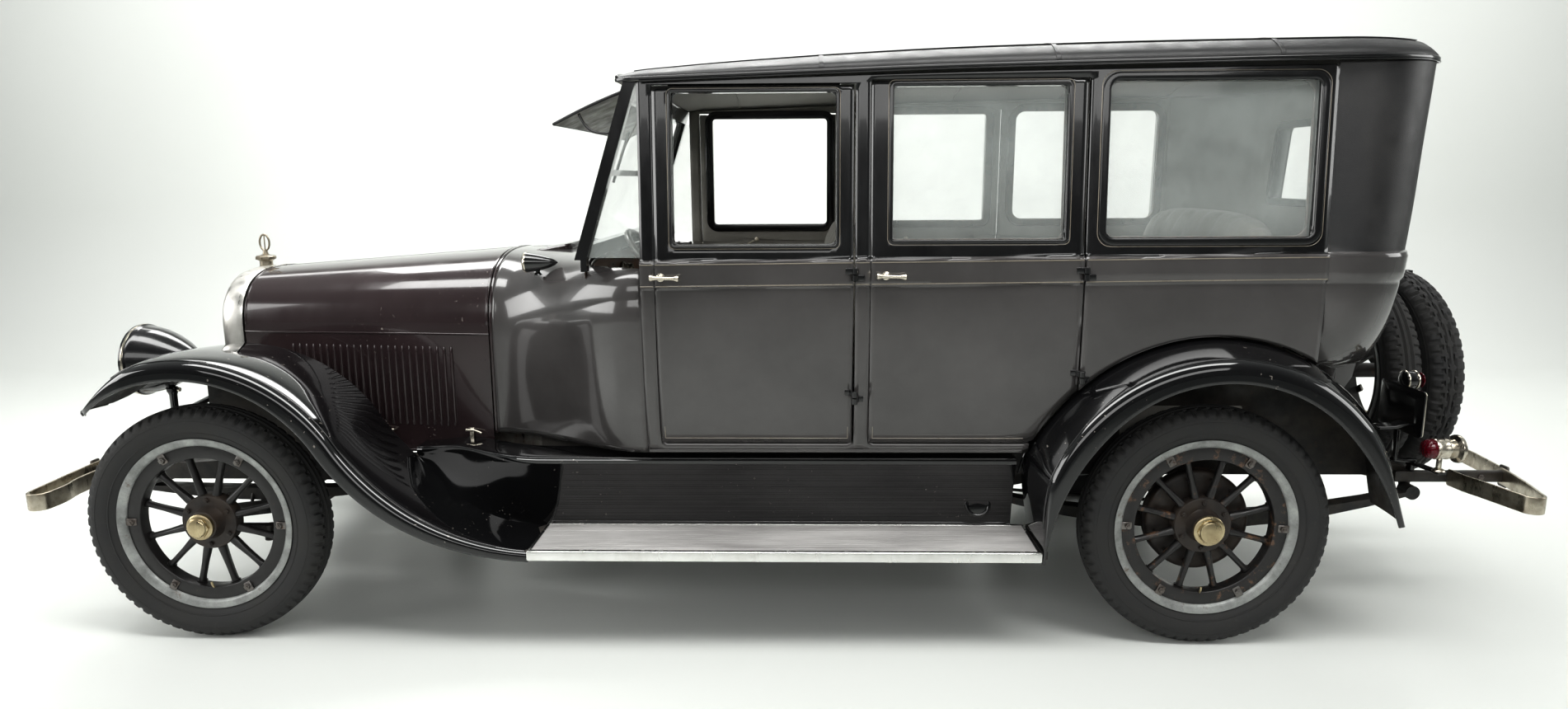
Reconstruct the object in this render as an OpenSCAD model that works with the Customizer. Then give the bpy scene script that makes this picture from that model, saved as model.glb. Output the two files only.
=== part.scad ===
// A large closed touring sedan of the 1920s, built as an assembly.
// +X is forward, +Y is the car's left and Z = 0 is the ground. Millimetres.

/* [Overall] */
// Distance between the front and rear axles
wheelbase = 3454; // [3300:1:3600]
// Distance between the centre planes of the left and right tyres
track = 1524; // [1480:1:1560]
// Front axle to the front face of the front bumper
front_overhang = 698; // [640:1:760]
// Rear axle to the back face of the rear bumper
rear_overhang = 1283; // [1220:1:1360]

/* [Wheels] */
// Radius of the tyre at its tread
tyre_r = 419; // [405:1:430]
// Width of the tyre
tyre_w = 127; // [110:1:135]
// Outer radius of the steel rim
rim_r = 309; // [300:1:315]
// Inner radius of the wooden felloe
felloe_r = 235; // [225:1:245]
// Number of wooden spokes
spokes = 12; // [10:2:14]
// Radius of each spoke
spoke_r = 12; // [9:0.5:15]
// Radius of the hub's flange
hub_flange_r = 98; // [85:1:110]
// Radius of the hub cap
hub_cap_r = 42; // [34:1:46]
// Radius of the rear brake drums
drum_r = 178; // [150:1:195]
// Radius of the spindles that carry the wheels
spindle_r = 20; // [16:0.5:26]

/* [Steering] */
// Kingpin axis, inwards from the tyre's centre plane
kingpin_in = 90; // [80:1:100]
// Radius of the kingpins
kingpin_r = 12; // [9:0.5:15]
// Length of the steering arms, measured back from the kingpins
arm_l = 150; // [130:1:170]
// Radius of the tie rod
tie_rod_r = 13; // [10:0.5:16]
// Radius of the steering wheel
steering_wheel_r = 220; // [190:1:230]

/* [Body] */
// Thickness of the doors and the side walls
wall = 45; // [35:1:55]
// Gap round each door
door_gap = 6; // [5:0.5:8]
// Height of the bottom of the body side
sill_z = 648; // [640:1:655]
// Height of the bottom edge of the doors
door_z = 690; // [685:1:700]
// Height of the top edge of the front doors
door_top_z = 1898; // [1894:1:1902]
// Width of the pillar between the doors
pillar_w = 50; // [44:1:60]
// Thickness of the window glass
glass_t = 6; // [5:0.5:8]
// Thickness of the fenders and the hood
sheet = 4; // [3:0.5:5]
// Thickness of the roof's edge
roof_t = 14; // [10:1:20]

/* [Chassis] */
// Depth of the frame's side rails
rail_h = 130; // [110:1:140]
// Width of the frame's side rails
rail_w = 60; // [50:1:70]
// Wall thickness of the frame's side rails
rail_t = 8; // [6:1:10]
// Centre of each frame rail from the car's centre line
rail_y = 400; // [390:1:410]

/* [Running boards] */
// Outer edge of the running boards and the fenders from the centre line
board_y = 890; // [875:1:905]
// Width of the running boards
board_w = 268; // [250:1:275]
// Thickness of the running boards
board_t = 36; // [28:1:40]
// Height of the tops of the running boards
board_z = 361; // [350:1:375]

/* [Bumpers] */
// Height of the bumper bars
bar_h = 62; // [50:1:75]
// Thickness of the bumper bars
bar_t = 9; // [7:1:12]
// Half the width of the bumpers
bumper_y = 790; // [740:1:830]

/* [Hidden] */
$fn = 48;

overall_l = front_overhang + wheelbase + rear_overhang;
// The modules work from the middle of the wheelbase, which lies at mid_x in the car's own frame.
mid_x = overall_l / 2 - front_overhang - wheelbase / 2;
axle_x = wheelbase / 2;
hub_y = track / 2;
seat_gap = 0.3;
shell_z = 520;
carrier_x = -2517;
king_y = hub_y - kingpin_in;
run = 0.05;
black = [0.03, 0.03, 0.035];
maroon = [0.16, 0.12, 0.13];
nickel = [0.75, 0.74, 0.70];
steel = [0.55, 0.57, 0.58];
wood = [0.16, 0.11, 0.08];
rubber = [0.09, 0.09, 0.09];
cloth = [0.55, 0.55, 0.52];
glass = [0.7, 0.8, 0.8, 0.35];

// Plan of the body: where the panels meet, from the front backwards
cowl_x = axle_x - 912;
screen_x = 400;
post_x = 185;
door_x = 137;
front_hinge_x = -533;
rear_door_x = front_hinge_x - pillar_w;
rear_hinge_x = -1293;
rear_x = -2080;
rear_door_top_z = door_top_z + 18;
hinge_y = 778;

// Half width of the body, as [y, z] from the sill up to the roof rail
side = [
  [690, sill_z], [712, 720], [731, 810], [746, 910], [756, 1030], [761, 1140], [763, 1234],
  [770, 1240], [770, 1326], [753, 1332], [745, 1500], [737, 1700], [729, 1905], [727, 1990]
];
function side_y(z) = lookup(z, [for (p = side) [p[1], p[0]]]);

// Back of the body, as [x, z] from the bottom up
back = [
  [-2165, sill_z], [-2225, 735], [-2280, 830], [-2325, 915], [-2362, 1020], [-2392, 1130],
  [-2410, 1234], [-2416, 1240], [-2420, 1326], [-2424, 1332], [-2440, 1500], [-2456, 1700],
  [-2474, 1905], [-2480, 1990]
];

// Line under the roof along the car, and how high the roof rises above it
drip = [[-2500, 1970], [-2096, 1967], [-955, 1950], [-164, 1926], [300, 1911]];
function drip_z(x) = lookup(x, drip);
rise = [
  [-2485, 4], [-2445, 44], [-2403, 76], [-2098, 89], [-1512, 90], [-974, 86], [-486, 75],
  [-157, 62], [63, 48], [200, 36], [252, 22]
];
roof_front_x = 252;

// Hood and cowl section: half width, height of the hinge seam and height of the top
radiator_x = axle_x + 100;
hood_z = 560;
function hood_w(x) = 300 + 125 * (radiator_x - x) / (radiator_x - cowl_x);
function hood_seam_z(x) = 1020 + 6 * (radiator_x - x) / (radiator_x - cowl_x);
function hood_top_z(x) = 1250 + 76 * (radiator_x - x) / (radiator_x - cowl_x);

function smooth(t) = let (c = min(1, max(0, t))) c * c * (3 - 2 * c);
function mix(a, b, t) = a + (b - a) * t;
function bezier(a, b, c, d, t) =
  pow(1 - t, 3) * a + 3 * pow(1 - t, 2) * t * b + 3 * (1 - t) * t * t * c + t * t * t * d;

// Closed solid between two grids of points of the same size
module skin(outer, inner) {
  n = len(outer);
  m = len(outer[0]);
  points = concat([for (r = outer) each r], [for (r = inner) each r]);
  function id(k, i, j) = k * n * m + i * m + j;
  function quad(a, b, c, d) = [[a, b, c], [a, c, d]];
  faces = concat(
    [for (i = [0:n - 2], j = [0:m - 2])
      each quad(id(0, i, j), id(0, i, j + 1), id(0, i + 1, j + 1), id(0, i + 1, j))],
    [for (i = [0:n - 2], j = [0:m - 2])
      each quad(id(1, i, j), id(1, i + 1, j), id(1, i + 1, j + 1), id(1, i, j + 1))],
    [for (i = [0:n - 2])
      each quad(id(0, i, 0), id(0, i + 1, 0), id(1, i + 1, 0), id(1, i, 0))],
    [for (i = [0:n - 2])
      each quad(id(0, i, m - 1), id(1, i, m - 1), id(1, i + 1, m - 1), id(0, i + 1, m - 1))],
    [for (j = [0:m - 2])
      each quad(id(0, 0, j), id(1, 0, j), id(1, 0, j + 1), id(0, 0, j + 1))],
    [for (j = [0:m - 2])
      each quad(id(0, n - 1, j), id(0, n - 1, j + 1), id(1, n - 1, j + 1), id(1, n - 1, j))]
  );
  polyhedron(points = points, faces = faces, convexity = 6);
}

module place() translate([mid_x, 0, 0]) children();
module right() mirror([0, 1, 0]) children();
module both() {
  children();
  right() children();
}
// Upright prism through Y from an outline in X and Z
module through_y(y0, y1) translate([0, y1, 0]) rotate([90, 0, 0]) linear_extrude(y1 - y0) children();
// Prism through X from an outline in Y and Z
module through_x(x0, x1) translate([x0, 0, 0]) rotate([90, 0, 90]) linear_extrude(x1 - x0) children();
module rod(a, b, r) {
  d = b - a;
  l = norm(d);
  translate(a) rotate([0, acos(d[2] / l), atan2(d[1], d[0])]) cylinder(h = l, r = r);
}
// Cylinder along Y between two stations
module axle_rod(x, z, y0, y1, r) translate([x, y1, z]) rotate([90, 0, 0]) cylinder(h = y1 - y0, r = r);

// ---------- wheels ----------
bead_r = rim_r - 14;
half_w = tyre_w / 2;
tyre_outline = [
  [bead_r, -39.7], [rim_r + 0.4, -39.7], [rim_r + 0.4, -47], [rim_r + 34, -half_w + 1], [rim_r + 62, -half_w],
  [tyre_r - 22, -half_w + 8], [tyre_r - 7, -half_w + 18], [tyre_r, -half_w + 34]
];
function flipped(list) = [for (i = [len(list) - 1:-1:0]) [list[i][0], -list[i][1]]];

module tyre() color(rubber) rotate([90, 0, 0]) rotate_extrude()
  polygon(concat(tyre_outline, flipped(tyre_outline)));

// Wheel about its own centre, with the hub cap towards +Y
rim_face = 44;
flange_face = 18;
cap_face = 92;
bore_l = 62;
module wheel(drum) {
  color(wood) difference() {
    union() {
      rotate([90, 0, 0]) rotate_extrude() polygon([
        [felloe_r, -24], [rim_r - 42, -24], [rim_r - 42, -40], [rim_r - 20, -rim_face + 6],
        [rim_r - 20, -rim_face], [rim_r, -rim_face], [rim_r, -rim_face + 4], [bead_r - 0.3, -40],
        [bead_r - 0.3, 40], [rim_r, rim_face - 4], [rim_r, rim_face], [rim_r - 20, rim_face],
        [rim_r - 20, rim_face - 6], [rim_r - 42, 40], [rim_r - 42, 24], [felloe_r, 24]
      ]);
      for (i = [0:spokes - 1]) rotate([0, (i + 0.5) * 360 / spokes, 0])
        translate([0, 0, hub_flange_r - 20]) cylinder(h = felloe_r + 26 - hub_flange_r, r = spoke_r);
      axle_rod(0, 0, -26, flange_face, hub_flange_r);
      axle_rod(0, 0, -42, cap_face - 34, 54);
      axle_rod(0, 0, 0, cap_face, hub_cap_r);
      if (drum) axle_rod(0, 0, -84, -32, drum_r);
      if (drum) axle_rod(0, 0, -34, -20, 60);
    }
    axle_rod(0, 0, -100, bore_l, spindle_r + run);
    if (drum) axle_rod(0, 0, -100, -40, drum_r - 10);
  }
}

module at_hub(x, side_sign) translate([x, side_sign * hub_y, tyre_r])
  if (side_sign > 0) children(); else right() children();

// ---------- chassis ----------
// Frame rail: top and depth along the car
rail = [
  [2180, 480, 44], [2080, 522, 60], [1650, 552, 90], [1280, 552, 96], [1080, 552, rail_h],
  [-1050, 552, rail_h], [-1400, 600, 104], [-1850, 640, 96], [-2300, 600, 80], [-2640, 512, 60]
];
rail_front_x = rail[0][0];
rail_rear_x = rail[len(rail) - 1][0];
rail_out = rail_y + rail_w / 2;
rail_in = rail_y - rail_w / 2;
function rail_top(x) = lookup(x, [for (i = [len(rail) - 1:-1:0]) [rail[i][0], rail[i][1]]]);
function rail_low(x) = lookup(x, [for (i = [len(rail) - 1:-1:0]) [rail[i][0], rail[i][1] - rail[i][2]]]);
// Cross members as [x, z, height]
engine_low = 520;
members = [
  [2060, 466, 50], [1877, 468, shell_z - seat_gap - 468],
  [1640, engine_low - 50, 50], [960, engine_low - 50, 50],
  [30, 424, 50], [-1180, 506, 50], [carrier_x, 480, 50]];
member_w = 50;

module rail_outline(inset) polygon(concat(
  [for (p = rail) [p[0], p[1] - inset]],
  [for (i = [len(rail) - 1:-1:0]) [rail[i][0], rail[i][1] - rail[i][2] + inset]]
));

module frame() color(black) {
  both() difference() {
    through_y(rail_in, rail_out) rail_outline(0);
    through_y(rail_in - 1, rail_out - rail_t) intersection() {
      rail_outline(rail_t);
      translate([-2560, 0]) square([2030 + 2560, 1000]);
    }
  }
  member_y = rail_out - rail_t + 2;
  for (m = members) translate([m[0] - member_w / 2, -member_y, m[1]]) cube([member_w, 2 * member_y, m[2]]);
}

beam_z = 350;
beam_h = 52;
module front_axle() color(black) difference() {
  union() {
    through_x(axle_x - 24, axle_x + 24) {
      for (s = [-1, 1]) polygon([
        [0, beam_z - beam_h / 2], [s * 430, beam_z - beam_h / 2], [s * king_y, tyre_r - 24],
        [s * king_y, tyre_r + 24], [s * 430, beam_z + beam_h / 2], [0, beam_z + beam_h / 2]
      ]);
    }
    both() translate([axle_x, king_y, tyre_r - 36]) cylinder(h = 72, r = 28);
  }
  both() translate([axle_x, king_y, 0]) cylinder(h = 1000, r = kingpin_r + run);
}

axle_tube_r = 40;
spring_rear_y = rail_out + 40;
spring_low = 348;
tube_end_z = 540;
module rear_axle() color(black) {
  axle_rod(-axle_x, tyre_r, -(hub_y - 92), hub_y - 92, axle_tube_r);
  translate([-axle_x, 0, tyre_r]) rotate([0, 90, 0]) rotate_extrude() polygon([
    [0, -150], [60, -140], [120, -95], [150, -40], [150, 40], [120, 95], [60, 140], [0, 150]
  ]);
  both() axle_rod(-axle_x, tyre_r, hub_y - 98, hub_y - 90, drum_r - 14);
  both() axle_rod(-axle_x, tyre_r, hub_y - 92, hub_y + 58, spindle_r);
  rod([-axle_x + 130, 0, tyre_r + 6], [146, 0, tube_end_z], 42);
  both() translate([-axle_x - 50, spring_rear_y - 28, 359.4]) cube([100, 56, 40]);
}

// Leaf spring pack as a shallow bow between two eyes
module leaf_pack(x0, x1, eye_z, low_z, pack_h, y) {
  n = 10;
  top = [for (i = [0:n]) let (t = i / n) [mix(x0, x1, t), eye_z + 8 - 4 * (eye_z - low_z) * t * (1 - t)]];
  bottom = [for (i = [n:-1:0]) let (t = i / n)
    [mix(x0, x1, t), eye_z - 8 - 4 * (eye_z - low_z) * t * (1 - t) - pack_h * sin(180 * t)]];
  translate([0, y, 0]) through_y(-28, 28) polygon(concat(top, bottom));
}
eye_r = 24.7;
eye_z = 426;
pack_h = 32;
front_eyes = [axle_x * 2 - rail_front_x - 25, rail_front_x + 25];
rear_eyes = [717 - axle_x, -883 - axle_x];
module leaf_springs() color(black) both() {
  leaf_pack(front_eyes[0], front_eyes[1], eye_z, beam_z + beam_h / 2 + seat_gap + 8 + pack_h, pack_h, rail_y);
  axle_rod(front_eyes[1], eye_z + 20, rail_y - 28, rail_y + 28, eye_r);
  translate([front_eyes[0] - 14, rail_y - 20, eye_z - 6])
    cube([28, 40, min(rail_low(front_eyes[0] - 14), rail_low(front_eyes[0] + 14)) - seat_gap - eye_z + 6]);
  leaf_pack(rear_eyes[1], rear_eyes[0], 440, spring_low, 40, spring_rear_y);
  for (x = rear_eyes) {
    axle_rod(x, 440, spring_rear_y - 28, spring_rear_y + 28, 26);
    translate([x - 14, rail_out + seat_gap, 428]) cube([28, spring_rear_y - 28 - rail_out, 72]);
  }
}

module engine() color(steel) {
  translate([930, -190, engine_low + seat_gap]) cube([750, 380, 1045 - engine_low]);
  translate([151, -150, 476]) cube([780, 300, 170]);
}

module fuel_tank() color(black) {
  axle_rod(-2385, 600, -rail_in + 14, rail_in - 14, 100);
  both() translate([-2397, rail_in - 30, 520]) cube([24, 30 - seat_gap, 50]);
}

exhaust_y = -250;
module exhaust() color([0.3, 0.27, 0.25]) {
  translate([1130, exhaust_y, 380]) cylinder(h = 500, r = 27);
  translate([1106, exhaust_y, 820]) cube([48, -190 - seat_gap - exhaust_y, 55]);
  rod([1130, exhaust_y, 410], [-440, exhaust_y, 395], 23);
  rod([-420, exhaust_y, 395], [-1080, exhaust_y, 395], 70);
  rod([-1060, exhaust_y, 395], [-1420, exhaust_y, 530], 21);
  rod([-1395, exhaust_y, 530], [-2250, exhaust_y, 530], 24);
}

// ---------- radiator, hood and cowl ----------
// Half section from the bottom of the side up to the centre line, as [y, z]
hood_steps = 9;
function arch(x, inset) = let (w = hood_w(x) - inset, s = hood_seam_z(x), h = hood_top_z(x) - inset - s)
  [for (i = [0:hood_steps]) let (a = 90 * i / hood_steps) [w * pow(cos(a), 0.72), s + h * pow(sin(a), 0.8)]];
function full_arch(x, inset, z0) = let (half = concat([[hood_w(x) - inset, z0]], arch(x, inset)))
  concat(half, [for (i = [len(half) - 2:-1:0]) [-half[i][0], half[i][1]]]);

module radiator_shell() color(nickel) difference() {
  union() {
    translate([radiator_x - 2, 0, 0]) through_x(6, 96) polygon(full_arch(radiator_x, -2, shell_z));
    translate([radiator_x + 62, 0, hood_top_z(radiator_x) - 8]) cylinder(h = 44, r = 24);
    translate([radiator_x + 62, 0, hood_top_z(radiator_x) + 34]) cylinder(h = 14, r = 36);
    translate([radiator_x + 62, 0, hood_top_z(radiator_x) + 46]) cylinder(h = 24, r = 9);
    translate([radiator_x + 62, 0, hood_top_z(radiator_x) + 100]) rotate([0, 90, 0]) scale([1, 0.6, 1])
      translate([0, 0, -9]) cylinder(h = 18, r = 34);
  }
  translate([radiator_x, 0, 0]) through_x(-10, 200) polygon(concat(
    [[-(hood_w(radiator_x) - 42), shell_z + 30]], [[hood_w(radiator_x) - 42, shell_z + 30]],
    [[hood_w(radiator_x) - 42, 1080], [190, 1165], [0, 1190], [-190, 1165]],
    [[-(hood_w(radiator_x) - 42), 1080]]
  ));
}

module radiator_core() color([0.2, 0.2, 0.2])
  translate([radiator_x, 0, 0]) through_x(20, 74) polygon([
    [-(hood_w(radiator_x) - 42.3), shell_z + 30.3], [hood_w(radiator_x) - 42.3, shell_z + 30.3],
    [hood_w(radiator_x) - 42.3, 1079.7], [190, 1164.6], [0, 1189.6], [-190, 1164.6],
    [-(hood_w(radiator_x) - 42.3), 1079.7]
  ]);

hood_front_x = radiator_x - 4;
hood_rear_x = cowl_x + 8;
hinge_half = 9;
function hood_grid(inset) = [for (j = [0:4])
  let (x = mix(hood_front_x, hood_rear_x, j / 4), a = arch(x, inset))
  [for (i = [0:hood_steps]) [x, max(a[i][0], hinge_half + 1), a[i][1] + (i == 0 ? 4.5 : 0)]]];
module hood_top() color(maroon) {
  skin(hood_grid(0), hood_grid(sheet));
  rod(
    [hood_front_x, hinge_half, hood_top_z(hood_front_x) - 6],
    [hood_rear_x, hinge_half, hood_top_z(hood_rear_x) - 6], 4
  );
}

function side_grid(inset) = [for (x = [hood_front_x, hood_rear_x])
  [for (z = [hood_z, hood_seam_z(x)]) [x, hood_w(x) - inset, z]]];
module hood_side() color(maroon) {
  skin(side_grid(0), side_grid(sheet));
  rod([hood_front_x, hood_w(hood_front_x) - sheet / 2, hood_seam_z(hood_front_x)],
    [hood_rear_x, hood_w(hood_rear_x) - sheet / 2, hood_seam_z(hood_rear_x)], 4);
}

// Cowl: the hood's section at the front, flaring to the body's section at the windscreen
cowl_steps = 8;
cowl_t = 22;
cowl_rows = 3 + hood_steps;
cowl_zs = [sill_z, 760, 900, hood_seam_z(cowl_x)];
body_zs = [sill_z, 760, 900, 1180];
function cowl_station(k) = mix(cowl_x, post_x + 1, k / cowl_steps);
function cowl_pt(x, i, inset) =
  let (
    t = smooth((cowl_x - x) / (cowl_x - post_x)), a = arch(cowl_x, inset), b = 90 * (i - 3) / hood_steps,
    z1 = i < 4 ? cowl_zs[i] : a[i - 3][1],
    y1 = i < 4 ? hood_w(cowl_x) - inset : a[i - 3][0],
    z2 = i < 4 ? body_zs[i] : mix(1180, 1326, pow(sin(b), 0.7)),
    y2 = i < 4 ? side_y(z2) - inset : (755 - inset) * pow(cos(b), 0.18)
  ) [x, max(0, mix(y1, y2, t)), mix(z1, z2, t)];
function cowl_in(x, i) =
  let (p = cowl_pt(x, i, cowl_t), drop = i > 3 ? 10 * sin(90 * (i - 3) / hood_steps) : 0)
  [p[0], p[1], p[2] - drop];
hinge_pin_y = 4.4;
module cowl() color(maroon) {
  both() difference() {
    skin(
      [for (k = [0:cowl_steps]) [for (i = [0:cowl_rows]) cowl_pt(cowl_station(k), i, 0)]],
      [for (k = [0:cowl_steps]) [for (i = [0:cowl_rows]) cowl_in(cowl_station(k), i)]]
    );
    translate([screen_x - 608, -900, ledge_z]) cube([600, 1800, 100]);
  }
  through_x(cowl_x - 12, cowl_x) polygon(full_arch(cowl_x, 10, sill_z));
  rod(
    [cowl_x - 4, 0, hood_top_z(cowl_x) - 6],
    [radiator_x + 3.7, 0, hood_top_z(radiator_x) - 6], hinge_pin_y
  );
}
ledge_z = 1290;

// ---------- body ----------
module side_outline(z0, z1) intersection() {
  polygon(concat(side, [for (i = [len(side) - 1:-1:0]) [side[i][0] - wall, side[i][1]]]));
  translate([0, z0]) square([1000, z1 - z0]);
}

arch_x = -axle_x - 23;
arch_z = tyre_r + 6;
fender_r = 646;
arch_r = fender_r + 0.6;
door_arch_r = fender_r + 9;
module arch_cut(r, y0 = 640) axle_rod(arch_x, arch_z, y0, 1000, r, $fn = 120);
module under_roof() through_y(-900, 900) polygon(concat(
  [[-3000, 0], [-3000, drip_z(-3000)]], drip, [[1000, drip_z(1000)], [1000, 0]]
));

// Window openings as [x front, x rear, z bottom, z top]
front_window = [75, -470, 1380, 1878];
rear_window = [-657, -1222, 1396, 1894];
quarter_window = [-1357, -2030, 1400, 1906];
module square_cut(w, grow, y0 = 600, y1 = 900)
  translate([w[1] - grow, y0, w[2] - grow]) cube([w[0] - w[1] + 2 * grow, y1 - y0, w[3] - w[2] + 2 * grow]);

module doorway(x0, x1, top) translate([x0 - 1, 500, door_z - door_gap])
  cube([x1 - x0 + 1, 500, top - door_z + 2 * door_gap]);
module body_side() difference() {
  intersection() {
    through_x(rear_x, post_x) side_outline(sill_z, 2000);
    under_roof();
  }
  doorway(front_hinge_x, door_x, door_top_z);
  doorway(rear_hinge_x, rear_door_x, rear_door_top_z);
  arch_cut(arch_r);
  square_cut(quarter_window, 0);
}

module body_shell() color(maroon) both() {
  difference() {
    body_side();
    knuckle_room(front_hinge_x, front_hinge_zs);
    knuckle_room(rear_hinge_x, rear_hinge_zs);
  }
  hinge_fixed(front_hinge_x, front_hinge_zs);
  hinge_fixed(rear_hinge_x, rear_hinge_zs);
}

front_hinge_zs = [865, 1283];
rear_hinge_zs = [935, 1283];
knuckle_h = 22;
hinge_pin_r = 5;
knuckle_r = 10;
// The body is hollowed round the door's knuckles, so that they turn clear of it
module knuckle_room(x, zs) for (z = zs)
  translate([x, hinge_y, z + 0.2]) cylinder(h = knuckle_h + 1.6, r = knuckle_r + 1.5);
module hinge_fixed(x, zs) for (z = zs) {
  translate([x, hinge_y, z - knuckle_h]) cylinder(h = knuckle_h, r = knuckle_r);
  translate([x - 26, side_y(z) - 12, z - knuckle_h]) cube([24, hinge_y - side_y(z) + 14, knuckle_h]);
  translate([x - 6, hinge_y - 12, z - knuckle_h]) cube([8, 12, knuckle_h]);
  translate([x, hinge_y, z - 4]) cylinder(h = knuckle_h + 4, r = hinge_pin_r);
}
module hinge_moving(x, zs) for (z = zs) difference() {
  union() {
    translate([x, hinge_y, z + 1]) cylinder(h = knuckle_h, r = knuckle_r);
    translate([x + 2, side_y(z) - 12, z + 1]) cube([24, hinge_y - side_y(z) + 14, knuckle_h]);
  }
  translate([x, hinge_y, z]) cylinder(h = 60, r = hinge_pin_r + run);
}

module door(x_front, x_hinge, w, top) difference() {
  intersection() {
    through_x(x_hinge + door_gap, x_front) side_outline(door_z, top);
    translate([x_hinge, hinge_y, 0]) cylinder(h = 3000, r = x_front - door_gap - x_hinge, $fn = 96);
  }
  square_cut(w, 0);
}
module handle(x) translate([x - 8, 0, 1272]) {
  translate([-20, side_y(1280) - 4, 0]) rotate([-90, 0, 0]) cylinder(h = 32, r = 11);
  translate([-44, side_y(1280) + 20, -8]) cube([104, 14, 16]);
}
module door_front() color(maroon) {
  door(door_x, front_hinge_x, front_window, door_top_z);
  hinge_moving(front_hinge_x, front_hinge_zs);
  handle(door_x - 34);
}
module door_rear() color(maroon) {
  difference() {
    door(rear_door_x, rear_hinge_x, rear_window, rear_door_top_z);
    arch_cut(door_arch_r);
  }
  hinge_moving(rear_hinge_x, rear_hinge_zs);
  handle(rear_door_x - 52);
}
module pane(w, y_low, y_high) {
  lap = -0.3;
  translate([w[1] - lap, 0, 0]) through_x(0, w[0] - w[1] + 2 * lap) polygon([
    [y_low, w[2] - lap], [y_low + glass_t, w[2] - lap], [y_high + glass_t, w[3] + lap], [y_high, w[3] + lap]
  ]);
}
pane_y = 716;
module glass_rear() color(glass) pane(rear_window, pane_y, pane_y - 12);

// Back of the body, rounded in plan
corner_r = 210;
corner_steps = 6;
function back_row(i, inset) =
  let (z = side[i][1], y = side[i][0] - inset, x = back[i][0] + inset, r = corner_r - inset,
       rx = min(corner_r - inset, rear_x - x))
  concat(
    [[rear_x, y, z]],
    [for (k = [0:corner_steps]) let (a = 90 * k / corner_steps)
      [x + rx - rx * sin(a), y - r + r * cos(a), z]],
    [for (k = [corner_steps:-1:0]) let (a = 90 * k / corner_steps)
      [x + rx - rx * sin(a), -(y - r + r * cos(a)), z]],
    [[rear_x, -y, z]]
  );
back_window = [320, 1500, 1800];
module body_rear() color(black) difference() {
  rows = [len(side) - 1:-1:0];
  intersection() {
    skin([for (i = rows) back_row(i, 0)], [for (i = rows) back_row(i, wall)]);
    under_roof();
  }
  translate([-2600, -back_window[0], back_window[1]])
    cube([400, 2 * back_window[0], back_window[2] - back_window[1]]);
  both() arch_cut(arch_r);
}

// Roof: a crowned panel with rounded edges
roof_edge_y = 748;
roof_end_x = -2485;
crown_share = [1, 0.985, 0.94, 0.87, 0.72, 0.35, 0];
hollow = [50, 48, 42, 30, 10, 0, 0];
function roof_plan(x) = x < rear_x
  ? let (t = min(1, (-2150 - min(-2150, x)) / (-2150 - roof_end_x)))
    roof_edge_y - corner_r + corner_r * sqrt(1 - t * t)
  : roof_edge_y - 40 * pow(smooth((x - post_x + 40) / 140), 2);
function roof_row(x, top) = let (h = roof_plan(x), c = smooth((180 - x) / 100) * smooth((x + 2400) / 100))
  [for (k = [-6:6]) [x, -h * sin(15 * k),
    drip_z(x) + (top ? roof_t + lookup(x, rise) * crown_share[abs(k)] : seat_gap + hollow[abs(k)] * c)]];
roof_xs = concat(
  [roof_front_x, 215, 160, 60, -164, -400, -700, -955, -1400, -1800, -2096, -2150],
  [for (a = [20:17.5:90]) -2150 + (roof_end_x + 2150) * sin(a)]
);
module roof() color(black) skin(
  [for (x = roof_xs) roof_row(x, true)], [for (x = roof_xs) roof_row(x, false)]
);

floor_z = 656;
floor_t = 24;
floor_y = side[0][0] - wall - seat_gap;
module floor() color(wood) {
  difference() {
    translate([rear_x + 2, -floor_y, floor_z]) cube([cowl_x - 14 - rear_x, 2 * floor_y, floor_t]);
    both() translate([180, 400, 0]) cube([900, 500, 2000]);
  }
  translate([back[0][0] + wall + 2, -540, floor_z]) cube([rear_x - back[0][0] - wall + 1, 1080, floor_t]);
  both() translate([0, 0, floor_z]) linear_extrude(floor_t) polygon(concat(
    [[post_x - 8, 390], [post_x - 8, floor_y], [post_x + 1, floor_y]],
    [for (k = [cowl_steps:-1:1]) [cowl_station(k), cowl_in(cowl_station(k), 0)[1] - 0.5]],
    [[cowl_station(1), 390]]
  ));
  both() translate([-1000, rail_y - 26, rail_top(0) + seat_gap]) cube([1640, 52, floor_z + 4 - rail_top(0)]);
}

// Windscreen: raked posts, header, sill and the bar between the two panes
screen_top = [228, drip_z(228)];
screen_low = [412, 1330];
screen_y = 728;
post_t = 41;
module raked(y0, y1, t) through_y(y0, y1) polygon([
  screen_low, screen_low - [t, 0], screen_top - [t, 0], screen_top
]);
module windscreen_frame() color(black) {
  both() raked(screen_y - 40, screen_y, post_t);
  both() translate([screen_low[0] - post_t, screen_y - 40, ledge_z + seat_gap])
    cube([screen_x - 9 - screen_low[0] + post_t, 40, screen_low[1] - ledge_z + 6]);
  difference() {
    raked(-screen_y + 41, screen_y - 41, post_t);
    translate([0, -screen_y - 10, screen_low[1] + 50]) cube([600, 2 * screen_y + 20, 230]);
    translate([0, -screen_y - 10, screen_low[1] + 300]) cube([600, 2 * screen_y + 20, 225]);
  }
}

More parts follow.
